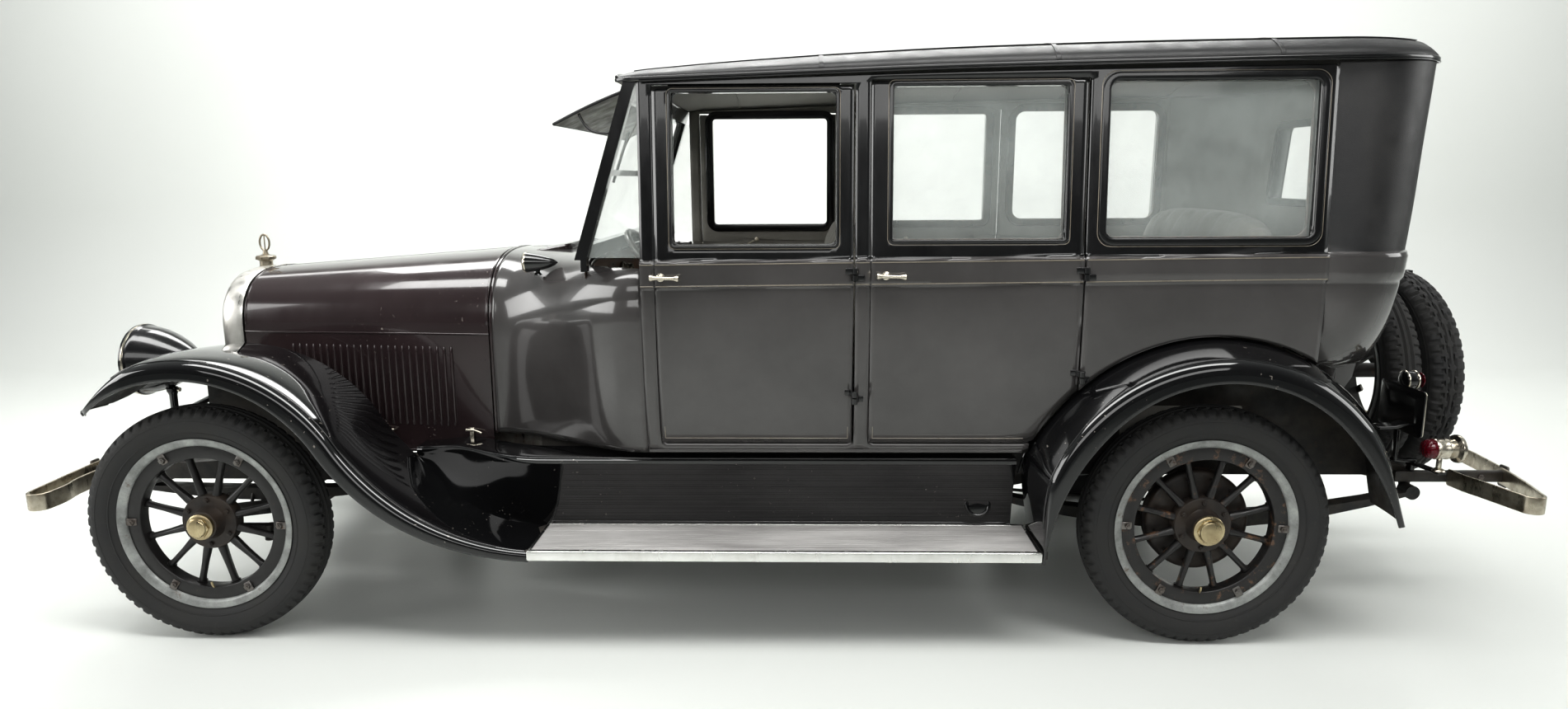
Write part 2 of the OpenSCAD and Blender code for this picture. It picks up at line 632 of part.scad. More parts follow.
module window_glass() color(glass) {
  both() pane(quarter_window, pane_y, pane_y - 12);
  for (z = [[50.3, 229.4], [300.3, 224.4]]) through_y(-screen_y + 41.3, screen_y - 41.3) {
    s = (screen_top[0] - screen_low[0]) / (screen_top[1] - screen_low[1]);
    polygon([
      [screen_low[0] - 20 + s * z[0], screen_low[1] + z[0]],
      [screen_low[0] - 20 + s * (z[0] + z[1]), screen_low[1] + z[0] + z[1]],
      [screen_low[0] - 26 + s * (z[0] + z[1]), screen_low[1] + z[0] + z[1]],
      [screen_low[0] - 26 + s * z[0], screen_low[1] + z[0]]
    ]);
  }
  both() through_y(screen_y - 24, screen_y - 24 + glass_t) polygon([
    [post_x + 2, screen_low[1] + 6], [screen_low[0] - post_t - 4, screen_low[1] + 6],
    [screen_top[0] - post_t + 18, screen_top[1] - 60], [post_x + 2, screen_top[1] - 60]
  ]);
  translate([-2436, -back_window[0] + 0.4, back_window[1] + 0.4])
    cube([glass_t, 2 * back_window[0] - 0.8, back_window[2] - back_window[1] - 0.8]);
}

module sun_visor() color(black) through_y(-640, 640)
  polygon([[235.9, 1890.5], [241, 1899], [488, 1794], [484, 1786]]);

// ---------- fenders ----------
edge_r = 532;
fender_y = board_y;
// Lower edge of the front fender's flange as [x, z, direction], from the front tip back to the running board
arc_end = 148;
tip_angle = 49;
bez0 = [axle_x + edge_r * cos(arc_end), tyre_r + edge_r * sin(arc_end)];
fender_end = [574, board_z - board_t];
function sweep_x(u) = bezier(bez0[0], bez0[0] - 175, fender_end[0] + 250, fender_end[0], u);
function sweep_z(u) = bezier(bez0[1], bez0[1] - 280, fender_end[1] + 14, fender_end[1], u);
function front_path(t) = t < 0.55
  ? let (a = mix(tip_angle, arc_end, t / 0.55)) [axle_x + edge_r * cos(a), tyre_r + edge_r * sin(a), a]
  : let (u = (t - 0.55) / 0.45,
         x = bezier(bez0[0], bez0[0] - 175, fender_end[0] + 250, fender_end[0], u),
         z = bezier(bez0[1], bez0[1] - 280, fender_end[1] + 14, fender_end[1], u),
         dx = sweep_x(min(1, u + 0.01)) - sweep_x(u - 0.01),
         dz = sweep_z(min(1, u + 0.01)) - sweep_z(u - 0.01))
    [x, z, t == 1 ? 90 : atan2(dz, dx) - 90];
// Crown across the fender, as [distance in from the outer edge, rise above the lower edge]
crown = [[0, 0], [3, 34], [14, 52], [38, 63], [90, 70], [150, 72], [230, 68], [330, 60], [416, 52]];
function front_crown_scale(t) = t < 0.16 ? mix(0.25, 1, smooth(t / 0.16))
  : t > 0.6 ? mix(1, 0.5, smooth((t - 0.6) / 0.4)) : 1;
function front_reach(t) = t < 0.12 ? mix(0.35, 1, sqrt(t / 0.12))
  : t > 0.62 ? mix(1, 0.64, smooth((t - 0.62) / 0.3)) : 1;
function front_edge(t) = fender_y - 76 * (1 - front_reach(t)) * (t < 0.3 ? 1 : 0);
function front_fender_row(t, thick) = let (p = front_path(t), k = front_crown_scale(t), w = front_reach(t))
  concat(
    [for (c = crown) let (r = c[1] * k - thick, y = front_edge(t) - (c[0] == 0 ? thick : 0) - c[0] * w)
      [p[0] + r * cos(p[2]), y, p[1] + r * sin(p[2])]]
  );
fender_steps = 26;
module front_fender() {
  ts = [for (i = [0:fender_steps]) i / fender_steps];
  skin([for (t = ts) front_fender_row(t, 0)], [for (t = ts) front_fender_row(t, sheet)]);
}
skirt_y = fender_y - 416;
apron_z = 554;
function skirt_top(t, y) = let (p = front_path(t)) [p[0] + 47 * cos(p[2]), y, p[1] + 47 * sin(p[2])];
function skirt_rows(y) = [for (i = [0:14]) let (p = skirt_top(mix(0.14, 0.62, i / 14), y))
  [[p[0], y, min(apron_z, p[2] - 5)], p]];
module front_skirt() skin(skirt_rows(skirt_y), skirt_rows(skirt_y - sheet));
module front_fenders() color(black) both() {
  front_fender();
  front_skirt();
  translate([1085, rail_out - 14, rail_top(1085) + seat_gap]) cube([550, skirt_y - rail_out + 13, 2.7]);
}

// Rear fender: lower edge round the wheel arch, from the running board back to the tail
function rear_path(t) = let (
    a = mix(-10, 177, t),
    r = 517 + 80 * pow(1 - min(1, t / 0.3), 2) + 58 * pow(max(0, (t - 0.78) / 0.22), 2)
  )
  [arch_x + r * cos(a), arch_z + r * sin(a), a, r];
rear_crown = [[0, 0], [4, 40], [14, 62], [46, 82], [100, 106], [150, 120], [196, 127], [240, 129]];
function rear_scale(t) = t > 0.8 ? mix(1, 0.35, smooth((t - 0.8) / 0.2)) : mix(0.06, 1, smooth(t / 0.2));
function rear_row(t, thick) =
  let (p = rear_path(t), k = min(rear_scale(t), (fender_r - p[3]) / rear_crown[7][1]))
  [for (c = rear_crown) let (r = c[1] * k - thick, y = fender_y - (c[0] == 0 ? thick : 0) - c[0])
    [p[0] + r * cos(p[2]), y, p[1] + r * sin(p[2])]];
module rear_fender() {
  ts = [for (i = [0:24]) i / 24];
  skin([for (t = ts) rear_row(t, 0)], [for (t = ts) rear_row(t, sheet)]);
}
module rear_skirt() difference() {
  axle_rod(arch_x, arch_z, fender_y - 240, fender_y - 240 + sheet, fender_r - 2, $fn = 120);
  translate([-5000, 0, -1000]) cube([10000, 1000, 1000 + 560]);
}
module rear_fenders() color(black) both() {
  rear_fender();
  rear_skirt();
}

board_front_x = fender_end[0] - 0.5;
board_rear_x = -1153.5;
module running_boards() color(steel) both()
  translate([board_rear_x, board_y - board_w, board_z - board_t])
    cube([board_front_x - board_rear_x, board_w, board_t]);

// Aprons: the curved valance between the body and the running board
apron_y = board_y - board_w - seat_gap;
sill_y = side[0][0] - 4;
module splash_aprons() color(black) both() through_x(arch_x + fender_r + 4, 560) polygon([
  [apron_y, board_z - 30], [apron_y, board_z + 30], [646, 470], [678, 560], [sill_y, 600],
  [sill_y, sill_z - seat_gap], [sill_y - 4, sill_z - seat_gap], [sill_y - 4, 602], [674, 562],
  [642, 472], [apron_y - 4, board_z + 32], [apron_y - 4, board_z - 30]
]);

// ---------- fittings ----------
lamp_r = 130;
lamp_y = 385;
module headlamps() color(black) {
  both() {
    translate([2185, lamp_y, 925]) rotate([0, -90, 0]) rotate_extrude()
      polygon([
        [0, 0], [lamp_r, 0], [lamp_r + 6, 6], [lamp_r + 6, 24], [lamp_r - 4, 40],
        [lamp_r - 18, 90], [70, 170], [34, 226], [0, 250]
      ]);
    translate([2080, lamp_y, 530]) cylinder(h = 315, r = 16);
    translate([2080, lamp_y, rail_top(2046) + 0.6]) cylinder(h = 22, r = 34);
  }
  axle_rod(2080, 700, -lamp_y, lamp_y, 12);
}

lamp_foot = cowl_pt(cowl_station(3), 7, 0);
lamp_ahead = 83;
lamp_rise = 47.4;
module side_lamps() color(black) both() {
  translate(lamp_foot + [lamp_ahead, 0, lamp_rise]) rotate([0, -90, 0]) rotate_extrude()
    polygon([[0, 0], [34, 0], [38, 6], [36, 30], [24, 90], [0, 128]]);
  translate([lamp_foot[0] + 12, lamp_foot[1], lamp_foot[2] + 0.3]) cylinder(h = lamp_rise - 10, r = 7);
}

plate_x = -2530;
module tail_lamps() {
  color(nickel) both() {
    translate([-2560, 600, 640]) rotate([0, -90, 0]) cylinder(h = 120, r = 36);
    translate([-2670, 600, 640]) rotate([0, -90, 0]) cylinder(h = 14, r = 50);
    translate([-2620, 600, 560]) cylinder(h = 60, r = 12);
    translate([-2636, rail_out + 12.6, 546]) cube([32, 188, 16]);
    translate([-2636, rail_out + 12.6, rear_bar_z + 22 + seat_gap]) cube([32, 20, 40]);
  }
  color(black) {
    translate([plate_x, 385, 685]) cube([6, 250, 165]);
    translate([-2590, 500, 868]) rotate([0, 90, 0]) cylinder(h = 66, r = 32);
    translate([-2545, 470, 560]) cube([16, 24, 300]);
    translate([-2620, rail_out + 32, 556]) cube([91, 24, 12]);
  }
}

seat_z = floor_z + floor_t + seat_gap;
module seats() color(cloth) {
  translate([-480, -600, seat_z]) cube([480, 1200, 330]);
  translate([-600, -600, seat_z]) cube([119, 1200, 760]);
  translate([-1920, -600, seat_z]) cube([500, 1200, 330]);
  translate([-2060, -600, seat_z]) cube([139, 1200, 800]);
}

column_low = [700, 380, 760];
column_top = [150, 380, 1250];
column_dir = (column_top - column_low) / norm(column_top - column_low);
dash_x = cowl_station(5);
module dashboard() color(wood) {
  both() through_x(dash_x - 20, dash_x) intersection() {
    polygon(concat(
      [[0, 0]],
      [for (i = [0:cowl_rows]) let (p = cowl_in(dash_x, i)) [max(0, p[1] - 0.4), p[2] - 0.4]]
    ));
    translate([0, 1130]) square([800, 300]);
  }
  column_z = column_low[2] + (dash_x - 9 - column_low[0]) * column_dir[2] / column_dir[0];
  translate([dash_x - 16, column_top[1] - 12, column_z]) cube([14, 24, 1140 - column_z]);
  difference() {
    rod(column_low, column_top - column_dir * 30, 24);
    rod(column_top - column_dir * 120, column_top, 12 + run);
  }
}
column_tilt = atan2(column_dir[0], column_dir[2]);
module steering_wheel() color(black) translate(column_top) rotate([0, column_tilt, 0]) {
  rotate_extrude($fn = 64) translate([steering_wheel_r - 12, 0]) circle(12, $fn = 24);
  for (a = [45:90:315]) rotate([0, 0, a]) rotate([0, 90, 0]) cylinder(h = steering_wheel_r - 12, r = 8);
  translate([0, 0, -24]) cylinder(h = 40, r = 30);
  translate([0, 0, -110]) cylinder(h = 100, r = 12);
}

// Bumper in plan: a bowed outer bar whose ends loop back into an inner bar
loop_r = 40;
function bow_x(x_face, s, sag, y) = x_face - s * sag * pow(y / bumper_y, 2);
module bumper_bar(x_face, s, sag, inner, z) color(nickel)
  translate([0, 0, z - bar_h / 2]) linear_extrude(bar_h) {
  n = 16;
  end_y = bumper_y - loop_r;
  ys = [for (i = [0:n]) end_y * (2 * i / n - 1)];
  polygon(concat(
    [for (y = ys) [bow_x(x_face, s, sag, y), y]],
    [for (i = [n:-1:0]) [bow_x(x_face, s, sag, ys[i]) - s * bar_t, ys[i]]]
  ));
  x_end = bow_x(x_face, s, sag, end_y) - s * loop_r;
  for (m = [0, 1]) mirror([0, m]) {
    difference() {
      translate([x_end, end_y]) circle(loop_r);
      translate([x_end, end_y]) circle(loop_r - bar_t);
      translate([x_end - 60, end_y - 100]) square([120, 100]);
    }
    for (k = [1:len(inner) - 1]) {
      a = inner[k - 1];
      b = inner[k];
      n2 = [b[1] - a[1], a[0] - b[0]] / norm(b - a) * bar_t / 2;
      e = (b - a) / norm(b - a) * bar_t / 2;
      polygon([a + n2 - e, b + n2 + e, b - n2 + e, a - n2 - e]);
    }
  }
}
front_bar_x = axle_x + front_overhang;
rear_bar_x = -axle_x - rear_overhang;
front_sag = 45;
rear_sag = 140;
front_bar_z = 489;
rear_bar_z = 493;
arm_front_y = rail_y;
arm_rear_y = rail_out + 27;
tow_pin_r = 8;
front_pin_x = front_bar_x - front_sag - 20;
rear_pin_x = rear_bar_x + 130;
module front_bumper() {
  x_in = bow_x(front_bar_x, 1, front_sag, bumper_y - loop_r) - 2 * loop_r + bar_t / 2;
  inner = [[x_in, bumper_y - loop_r], [x_in - 4, 690], [x_in + 8, 640], [x_in + 20, 0]];
  bumper_bar(front_bar_x, 1, front_sag, inner, front_bar_z);
  x_arm = bow_x(front_bar_x, 1, front_sag, arm_front_y) - bar_t + 2;
  color(black) both() {
    difference() {
      translate([x_in, arm_front_y - 12, front_bar_z - 22]) cube([x_arm - x_in, 24, 44]);
      translate([front_pin_x, arm_front_y, 0]) cylinder(h = 2 * front_bar_z, r = tow_pin_r);
    }
    translate([rail_front_x + seat_gap, arm_front_y - 12, 473]) cube([x_in + 10 - rail_front_x, 24, 16]);
    translate([x_in - 12, arm_front_y - 12, 452]) cube([26, 24, 60]);
  }
}
module rear_bumper() {
  x_in = bow_x(rear_bar_x, -1, rear_sag, bumper_y - loop_r) + 2 * loop_r - bar_t / 2;
  x_arm = bow_x(rear_bar_x, -1, rear_sag, arm_rear_y) + bar_t - 2;
  inner = [[x_in, bumper_y - loop_r], [x_in + 8, 700], [x_in + 46, 560], [x_in + 60, arm_rear_y]];
  bumper_bar(rear_bar_x, -1, rear_sag, inner, rear_bar_z);
  color(black) both() {
    difference() {
      translate([x_arm, arm_rear_y - 13, rear_bar_z - 22]) cube([-2560 - x_arm, 26, 44]);
      translate([rear_pin_x, arm_rear_y, 0]) cylinder(h = 2 * rear_bar_z, r = tow_pin_r);
    }
    translate([-2590, rail_out + seat_gap, rear_bar_z - 22]) cube([30, 20, 44]);
  }
}

spare_z = 802;
spare_x = -2608;
spare_pitch = 157;
module at_spare(k) translate([spare_x - k * spare_pitch, 0, spare_z]) rotate([0, 0, 90]) children();
module spare_tyres() for (k = [0, 1]) at_spare(k) tyre();
module spare_carrier() color(black) {
  for (k = [0, 1]) at_spare(k) rotate([90, 0, 0]) rotate_extrude() polygon([
    [rim_r - 40, -40], [bead_r - 0.3, -40], [bead_r - 0.3, 40], [rim_r - 40, 40]
  ]);
  at_spare(0) {
    axle_rod(0, 0, spare_x - carrier_x - 2, spare_pitch + 20, 30);
    for (y = [-20, spare_pitch - 20]) for (a = [60:120:300]) rotate([0, a, 0])
      translate([-14, y, 20]) cube([28, 16, rim_r - 50]);
  }
  both() translate([carrier_x - 10, 60, members[6][1] + members[6][2] + seat_gap])
    cube([20, 40, spare_z - members[6][1] - 60]);
  translate([carrier_x - 10, -100, spare_z - 40]) cube([20, 200, 70]);
}

// ---------- steering ----------
module knuckle() color(black) translate([axle_x, king_y, tyre_r]) {
  difference() {
    union() {
      for (z = [-62, 38]) translate([0, 0, z]) cylinder(h = 24, r = 30);
      translate([-26, 30, -62]) cube([52, 16, 124]);
      for (z = [-62, 38]) translate([-22, 0, z]) cube([44, 34, 24]);
    }
    cylinder(h = 400, r = kingpin_r - 4, center = true);
  }
  translate([0, 0, -60]) cylinder(h = 120, r = kingpin_r);
  translate([0, kingpin_in + 58, 0]) rotate([90, 0, 0]) cylinder(h = kingpin_in + 58 - 40, r = spindle_r);
  // Steering arm, back to the tie rod's ball
  translate([-arm_l, -14, -66]) cube([arm_l, 28, 18]);
  translate([-arm_l, 0, -66]) cylinder(h = 18, r = 20);
  translate([-arm_l, 0, -100]) cylinder(h = 36, r = 9);
}
tie_z = tyre_r - 90;
module tie_rod() color(black) difference() {
  union() {
    axle_rod(axle_x - arm_l, tie_z, -king_y, king_y, tie_rod_r);
    both() translate([axle_x - arm_l, king_y, tie_z - 14]) cylinder(h = 28, r = 20);
  }
  both() translate([axle_x - arm_l, king_y, 0]) cylinder(h = 1000, r = 9 + run);
}

place() frame();
place() front_axle();
place() rear_axle();
place() leaf_springs();
place() engine();
place() fuel_tank();
place() exhaust();
place() radiator_shell();
place() radiator_core();
place() cowl();
place() body_shell();
place() body_rear();
place() roof();
place() floor();
place() windscreen_frame();
place() window_glass();
place() sun_visor();
place() front_fenders();
place() rear_fenders();
place() running_boards();
place() splash_aprons();
place() headlamps();
place() side_lamps();
place() tail_lamps();
place() seats();
place() dashboard();
place() front_bumper();
place() rear_bumper();
place() spare_tyres();
place() spare_carrier();
place() hood_top();  // hood_top_left
place() right() hood_top();  // hood_top_right
place() hood_side();  // hood_side_left
place() right() hood_side();  // hood_side_right
place() door_front();  // door_front_left
place() right() door_front();  // door_front_right
place() door_rear();  // door_rear_left
place() right() door_rear();  // door_rear_right
place() glass_rear();  // glass_rear_left
place() right() glass_rear();  // glass_rear_right
place() steering_wheel();
place() knuckle();  // knuckle_left
place() right() knuckle();  // knuckle_right
place() tie_rod();
place() at_hub(axle_x, 1) tyre();  // tyre_front_left
place() at_hub(axle_x, -1) tyre();  // tyre_front_right
place() at_hub(-axle_x, 1) tyre();  // tyre_rear_left
place() at_hub(-axle_x, -1) tyre();  // tyre_rear_right
place() at_hub(axle_x, 1) wheel(false);  // wheel_front_left
place() at_hub(axle_x, -1) wheel(false);  // wheel_front_right
place() at_hub(-axle_x, 1) wheel(true);  // wheel_rear_left
place() at_hub(-axle_x, -1) wheel(true);  // wheel_rear_right
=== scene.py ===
"""A closed touring sedan of the 1920s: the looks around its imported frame.

Every shape is written in millimetres: x forwards from the middle of the wheelbase, y to the car's left, z up
from the ground. Shape.make moves it into the frame's metres.
"""

import math

import bmesh
import bpy
import numpy as np
from bpy.props import FloatProperty, FloatVectorProperty, IntProperty, PointerProperty
from mathutils import Matrix, Vector
from numpy import arange, array, clip, concatenate, cos, linspace, pi, radians, sin, stack


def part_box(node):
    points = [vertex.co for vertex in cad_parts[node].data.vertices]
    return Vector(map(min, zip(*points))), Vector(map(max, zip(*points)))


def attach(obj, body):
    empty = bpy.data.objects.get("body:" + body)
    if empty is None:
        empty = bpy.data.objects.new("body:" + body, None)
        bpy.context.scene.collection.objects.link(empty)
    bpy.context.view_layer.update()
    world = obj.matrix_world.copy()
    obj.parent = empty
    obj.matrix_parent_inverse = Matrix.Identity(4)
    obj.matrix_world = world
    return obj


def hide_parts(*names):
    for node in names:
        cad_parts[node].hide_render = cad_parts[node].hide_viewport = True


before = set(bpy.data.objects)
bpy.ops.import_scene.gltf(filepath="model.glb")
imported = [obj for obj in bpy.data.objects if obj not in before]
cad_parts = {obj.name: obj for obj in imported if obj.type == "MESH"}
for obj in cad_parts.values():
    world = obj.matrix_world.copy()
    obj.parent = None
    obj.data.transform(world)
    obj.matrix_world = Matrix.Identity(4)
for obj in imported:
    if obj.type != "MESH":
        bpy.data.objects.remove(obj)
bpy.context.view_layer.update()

bl_info = {
    "name": "Vintage Sedan",
    "version": (1, 0, 0),
    "blender": (4, 5, 0),
    "location": "View3D > Sidebar > Sedan",
    "description": "Builds the bodywork, wheels, trim, lamps, seats and stage of a closed 1920s sedan",
    "category": "Add Mesh",
}


def middle(node):
    """The middle of a frame node's box, in metres."""
    low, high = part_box(node)
    return (low + high) / 2


MID_X = (middle("tyre_front_left").x + middle("tyre_rear_left").x) / 2
AXLE_X = 1000 * (middle("tyre_front_left").x - MID_X)
HUB_Y = 1000 * middle("tyre_front_left").y
HUB_Z = 1000 * middle("tyre_front_left").z
X_AXIS, Y_AXIS, Z_AXIS = np.eye(3)

# ---------------------------------------------------------------- shapes as arrays


def curve(xk, yk, x):
    """A smooth line through the points (xk, yk): cubic pieces whose slope at a point is the harmonic mean of
    its neighbours' slopes, or zero where they differ in sign. Straight past its ends."""
    xk, yk, x = np.asarray(xk, float), np.asarray(yk, float), np.asarray(x, float)
    if xk[0] > xk[-1]:
        xk, yk = xk[::-1], yk[::-1]
    h = np.diff(xk)
    d = np.diff(yk) / h
    with np.errstate(divide="ignore", invalid="ignore"):
        inner = np.where(d[1:] * d[:-1] > 0, 2 * d[1:] * d[:-1] / (d[1:] + d[:-1]), 0.0)
    m = concatenate([d[:1], np.nan_to_num(inner), d[-1:]])
    i = clip(np.searchsorted(xk, x, side="right") - 1, 0, len(h) - 1)
    t = clip((x - xk[i]) / h[i], 0, 1)
    a = (1 + 2 * t) * (1 - t) ** 2 * yk[i] + t * (1 - t) ** 2 * h[i] * m[i]
    b = t * t * (3 - 2 * t) * yk[i + 1] + t * t * (t - 1) * h[i] * m[i + 1]
    return a + b + np.where(x > xk[-1], (x - xk[-1]) * m[-1], 0) + np.where(x < xk[0], (x - xk[0]) * m[0], 0)


def smooth(t):
    """0 below 0, 1 above 1, and an even S between them."""
    c = clip(t, 0, 1)
    return c * c * (3 - 2 * c)


def unit(v):
    """Vectors of length 1 along v."""
    v = np.asarray(v, float)
    return v / np.maximum(np.linalg.norm(v, axis=-1, keepdims=True), 1e-9)


def points(*parts):
    """Arrays of x, y and z, spread to one shape and stacked as points."""
    return stack(np.broadcast_arrays(*[np.asarray(p, float) for p in parts]), -1)


def net(u, v):
    """Two arrays that give u and v at every crossing of a grid."""
    return np.meshgrid(u, v, indexing="ij")


def round_rect(w, h, r, n=4):
    """A closed loop round a rectangle w by h whose corners are quarter circles of radius r."""
    a = radians(linspace(0, 90, n + 1))
    arc = points(cos(a), sin(a)) * r
    turns = [(1, 1, 0), (-1, 1, 90), (-1, -1, 180), (1, -1, 270)]
    out = []
    for sx, sy, turn in turns:
        c, s = cos(radians(turn)), sin(radians(turn))
        out.append(arc @ array([[c, s], [-s, c]]) + [sx * (w / 2 - r), sy * (h / 2 - r)])
    return concatenate(out)


def loop_frame(path, up, closed=False):
    """For each point of a path: the direction across it, square to up, and the direction square to both."""
    path = np.asarray(path, float)
    if closed:
        t = unit(np.roll(path, -1, 0) - np.roll(path, 1, 0))
    else:
        t = unit(np.gradient(path, axis=0))
    up = np.broadcast_to(np.asarray(up, float), path.shape)
    across = unit(np.cross(t, up))
    return across, np.cross(across, t)


def swept(path, section, up, scale=1.0, closed=False):
    """A section carried along a path: path point plus section x times the direction across, plus section y
    times the direction towards up, each times a scale that may change along the path."""
    across, high = loop_frame(path, up, closed)
    scale = np.broadcast_to(np.asarray(scale, float), (len(path),))[:, None, None]
    section = np.asarray(section, float)
    return np.asarray(path, float)[:, None] + scale * (
        section[None, :, :1] * across[:, None] + section[None, :, 1:] * high[:, None]
    )


def ended(rows):
    """Rows of a swept surface with each end drawn in to a softened, closed face."""
    first, last = rows[0].mean(0), rows[-1].mean(0)
    t0, t1 = unit(rows[0].mean(0) - rows[1].mean(0)), unit(rows[-1].mean(0) - rows[-2].mean(0))
    size = np.linalg.norm(rows[0] - first, axis=-1).min() * 0.22
    size1 = np.linalg.norm(rows[-1] - last, axis=-1).min() * 0.22
    head = [first + 0 * rows[0] + t0 * size, first + (rows[0] - first) * 0.82 + t0 * size]
    tail = [last + (rows[-1] - last) * 0.82 + t1 * size1, last + 0 * rows[-1] + t1 * size1]
    return concatenate([stack(head), rows, stack(tail)])


def ring_rows(profile, centre, axis, n=64, start=0.0, turn=360.0):
    """A profile of (distance along the axis, radius) points turned about an axis through centre."""
    axis = unit(axis)
    e1 = unit(np.cross(axis, Z_AXIS if abs(axis[2]) < 0.9 else X_AXIS))
    e2 = np.cross(axis, e1)
    a = radians(start + turn * arange(n) / (n if turn == 360.0 else n - 1))
    profile = np.asarray(profile, float)
    spoke = cos(a)[:, None] * e1 + sin(a)[:, None] * e2
    return np.asarray(centre, float) + profile[None, :, :1] * axis + profile[None, :, 1:] * spoke[:, None]


def around(count, start=0.0):
    """Unit directions from the middle of a wheel, evenly spaced round it in the plane of x and z."""
    a = 2 * pi * arange(count) / count + start
    return points(cos(a), 0, sin(a))


def circle(r, n=12):
    """A closed loop of n points on a circle of radius r."""
    a = 2 * pi * arange(n) / n
    return points(cos(a), sin(a)) * r


class Shape:
    """Surfaces gathered into one mesh. Each is a grid of points, with one material number or one a face."""

    def __init__(self, side=1):
        self.side = side
        self.points, self.faces, self.slots, self.starts, self.count = [], [], [], [], 0

    def grid(self, p, mat=0, wrap_u=False, wrap_v=False, keep=None, flip=False):
        """Quads between neighbouring points of a grid, closed on itself where it wraps. keep drops faces."""
        p = array(p, float)
        nu, nv = p.shape[:2]
        i = arange(nu if wrap_u else nu - 1)[:, None]
        j = arange(nv if wrap_v else nv - 1)[None, :]
        i2, j2 = (i + 1) % nu, (j + 1) % nv
        quads = points(i * nv + j, i2 * nv + j, i2 * nv + j2, i * nv + j2).astype(int)
        slots = np.broadcast_to(np.asarray(mat, int), quads.shape[:2])
        if keep is not None:
            quads, slots = quads[keep], slots[keep]
        quads = quads.reshape(-1, 4)
        if flip != (self.side < 0):
            quads = quads[:, ::-1]
        p[..., 1] *= self.side
        self.points.append(p.reshape(-1, 3))
        self.starts.append(self.count)
        self.faces.append(quads + self.count)
        self.slots.append(array(slots).reshape(-1))
        self.count += p.shape[0] * p.shape[1]
        return self

    def turned(self, profile, centre, axis, n=64, mat=0):
        """A turned form: a profile that starts and ends on the axis, or closes on itself, spun once round."""
        return self.grid(ring_rows(profile, centre, axis, n), mat, wrap_u=True)

    def hoop(self, profile, centre, axis, n=96, mat=0):
        """A turned ring whose profile is a closed loop."""
        return self.grid(ring_rows(profile, centre, axis, n), mat, wrap_u=True, wrap_v=True)

    def rod(self, path, r, mat=0, n=10, up=(0.0, 0.0, 1.0), scale=1.0):
        """A round rod along a path, closed at both ends."""
        rows = ended(swept(path, circle(r, n), up, scale))
        return self.grid(rows, mat, wrap_v=True)

    def bar(self, path, w, h, r, mat=0, up=(0.0, 0.0, 1.0), scale=1.0, n=3):
        """A bar with a rounded rectangular section along a path, closed at both ends."""
        rows = ended(swept(path, round_rect(w, h, r, n), up, scale))
        return self.grid(rows, mat, wrap_v=True)

    def band(self, path, facing, section, mat=0):
        """A closed band: a section carried round a closed path, its y always along the way that it faces."""
        side = unit(np.cross(np.roll(path, -1, 0) - np.roll(path, 1, 0), facing))
        rows = path[:, None] + section[None, :, :1] * side[:, None] + section[None, :, 1:] * facing
        return self.grid(rows, mat, wrap_u=True, wrap_v=True)

    def sheet(self, over, under, under_mat=1):
        """A thin sheet: a surface, its copy below, and a strip along each of the four edges between them."""
        self.grid(over, 0)
        self.grid(under, under_mat, flip=True)
        for e in (0, -1):
            self.grid(stack([over[:, e], under[:, e]], 1), 0)
            self.grid(stack([over[e], under[e]], 1), 0)
        return self

    def bolt(self, at, axis, r, h, mat=0, sides=6):
        """A bolt head: a six-sided nut with a round domed end standing h above its face."""
        axis = unit(axis)
        self.grid(ring_rows([[0, 0], [0, r], [0.7 * h, r], [0.78 * h, 0.9 * r], [0.78 * h, 0]], at, axis,
            sides), mat, wrap_u=True)
        return self.grid(
            ring_rows([[0.6 * h, 0], [0.6 * h, 0.55 * r], [0.95 * h, 0.5 * r], [1.05 * h, 0]], at, axis,
                8), mat, wrap_u=True
        )

    def mirrored(self):
        """The same surfaces again on the other side of the car."""
        for p, f, s, start in list(zip(self.points, self.faces, self.slots, self.starts)):
            self.points.append(p * [1, -1, 1])
            self.faces.append(f[:, ::-1] - start + self.count)
            self.slots.append(s)
            self.starts.append(self.count)
            self.count += len(p)
        return self

    def make(self, name, body, slot, materials, replaces=(), merge=0.02, sharp=38, recalc=True):
        """The mesh as an object that rides on a body. Doubles are merged and poles closed. Normals turn
        outwards unless recalc is off. The materials are words of M in the order of the slots."""
        mesh = bpy.data.meshes.new(name)
        co = concatenate(self.points) / 1000 + [MID_X, 0, 0]
        mesh.from_pydata(co.tolist(), [], concatenate(self.faces).tolist())
        mesh.polygons.foreach_set("material_index", concatenate(self.slots).astype(np.int32))
        b = bmesh.new()
        b.from_mesh(mesh)
        bmesh.ops.remove_doubles(b, verts=b.verts, dist=merge / 1000)
        bmesh.ops.dissolve_degenerate(b, edges=b.edges, dist=1e-6)
        if recalc:
            bmesh.ops.recalc_face_normals(b, faces=b.faces)
        b.to_mesh(mesh)
        b.free()
        mesh.polygons.foreach_set("use_smooth", np.ones(len(mesh.polygons), bool))
        if sharp:
            mesh.set_sharp_from_angle(angle=radians(sharp))
        for word in materials.split():
            mesh.materials.append(M[word])
        return placed(bpy.data.objects.new(name, mesh), body, replaces)


def placed(obj, body, replaces=()):
    """Links an object to the scene, ties it to a body and hides the frame's nodes that it stands for."""
    bpy.context.scene.collection.objects.link(obj)
    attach(obj, body)
    if replaces:
        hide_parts(*([replaces] if isinstance(replaces, str) else replaces))
    return obj


def walled(obj, thickness, inner=0, rim=0, offset=-1.0):
    """Gives an open sheet a wall on its inner side, with its own finish inside and at its rim."""
    m = obj.modifiers.new("wall", "SOLIDIFY")
    m.thickness = thickness / 1000
    m.offset = offset
    m.use_even_offset = True
    m.material_offset = inner
    m.material_offset_rim = rim
    return obj


# ---------------------------------------------------------------- materials


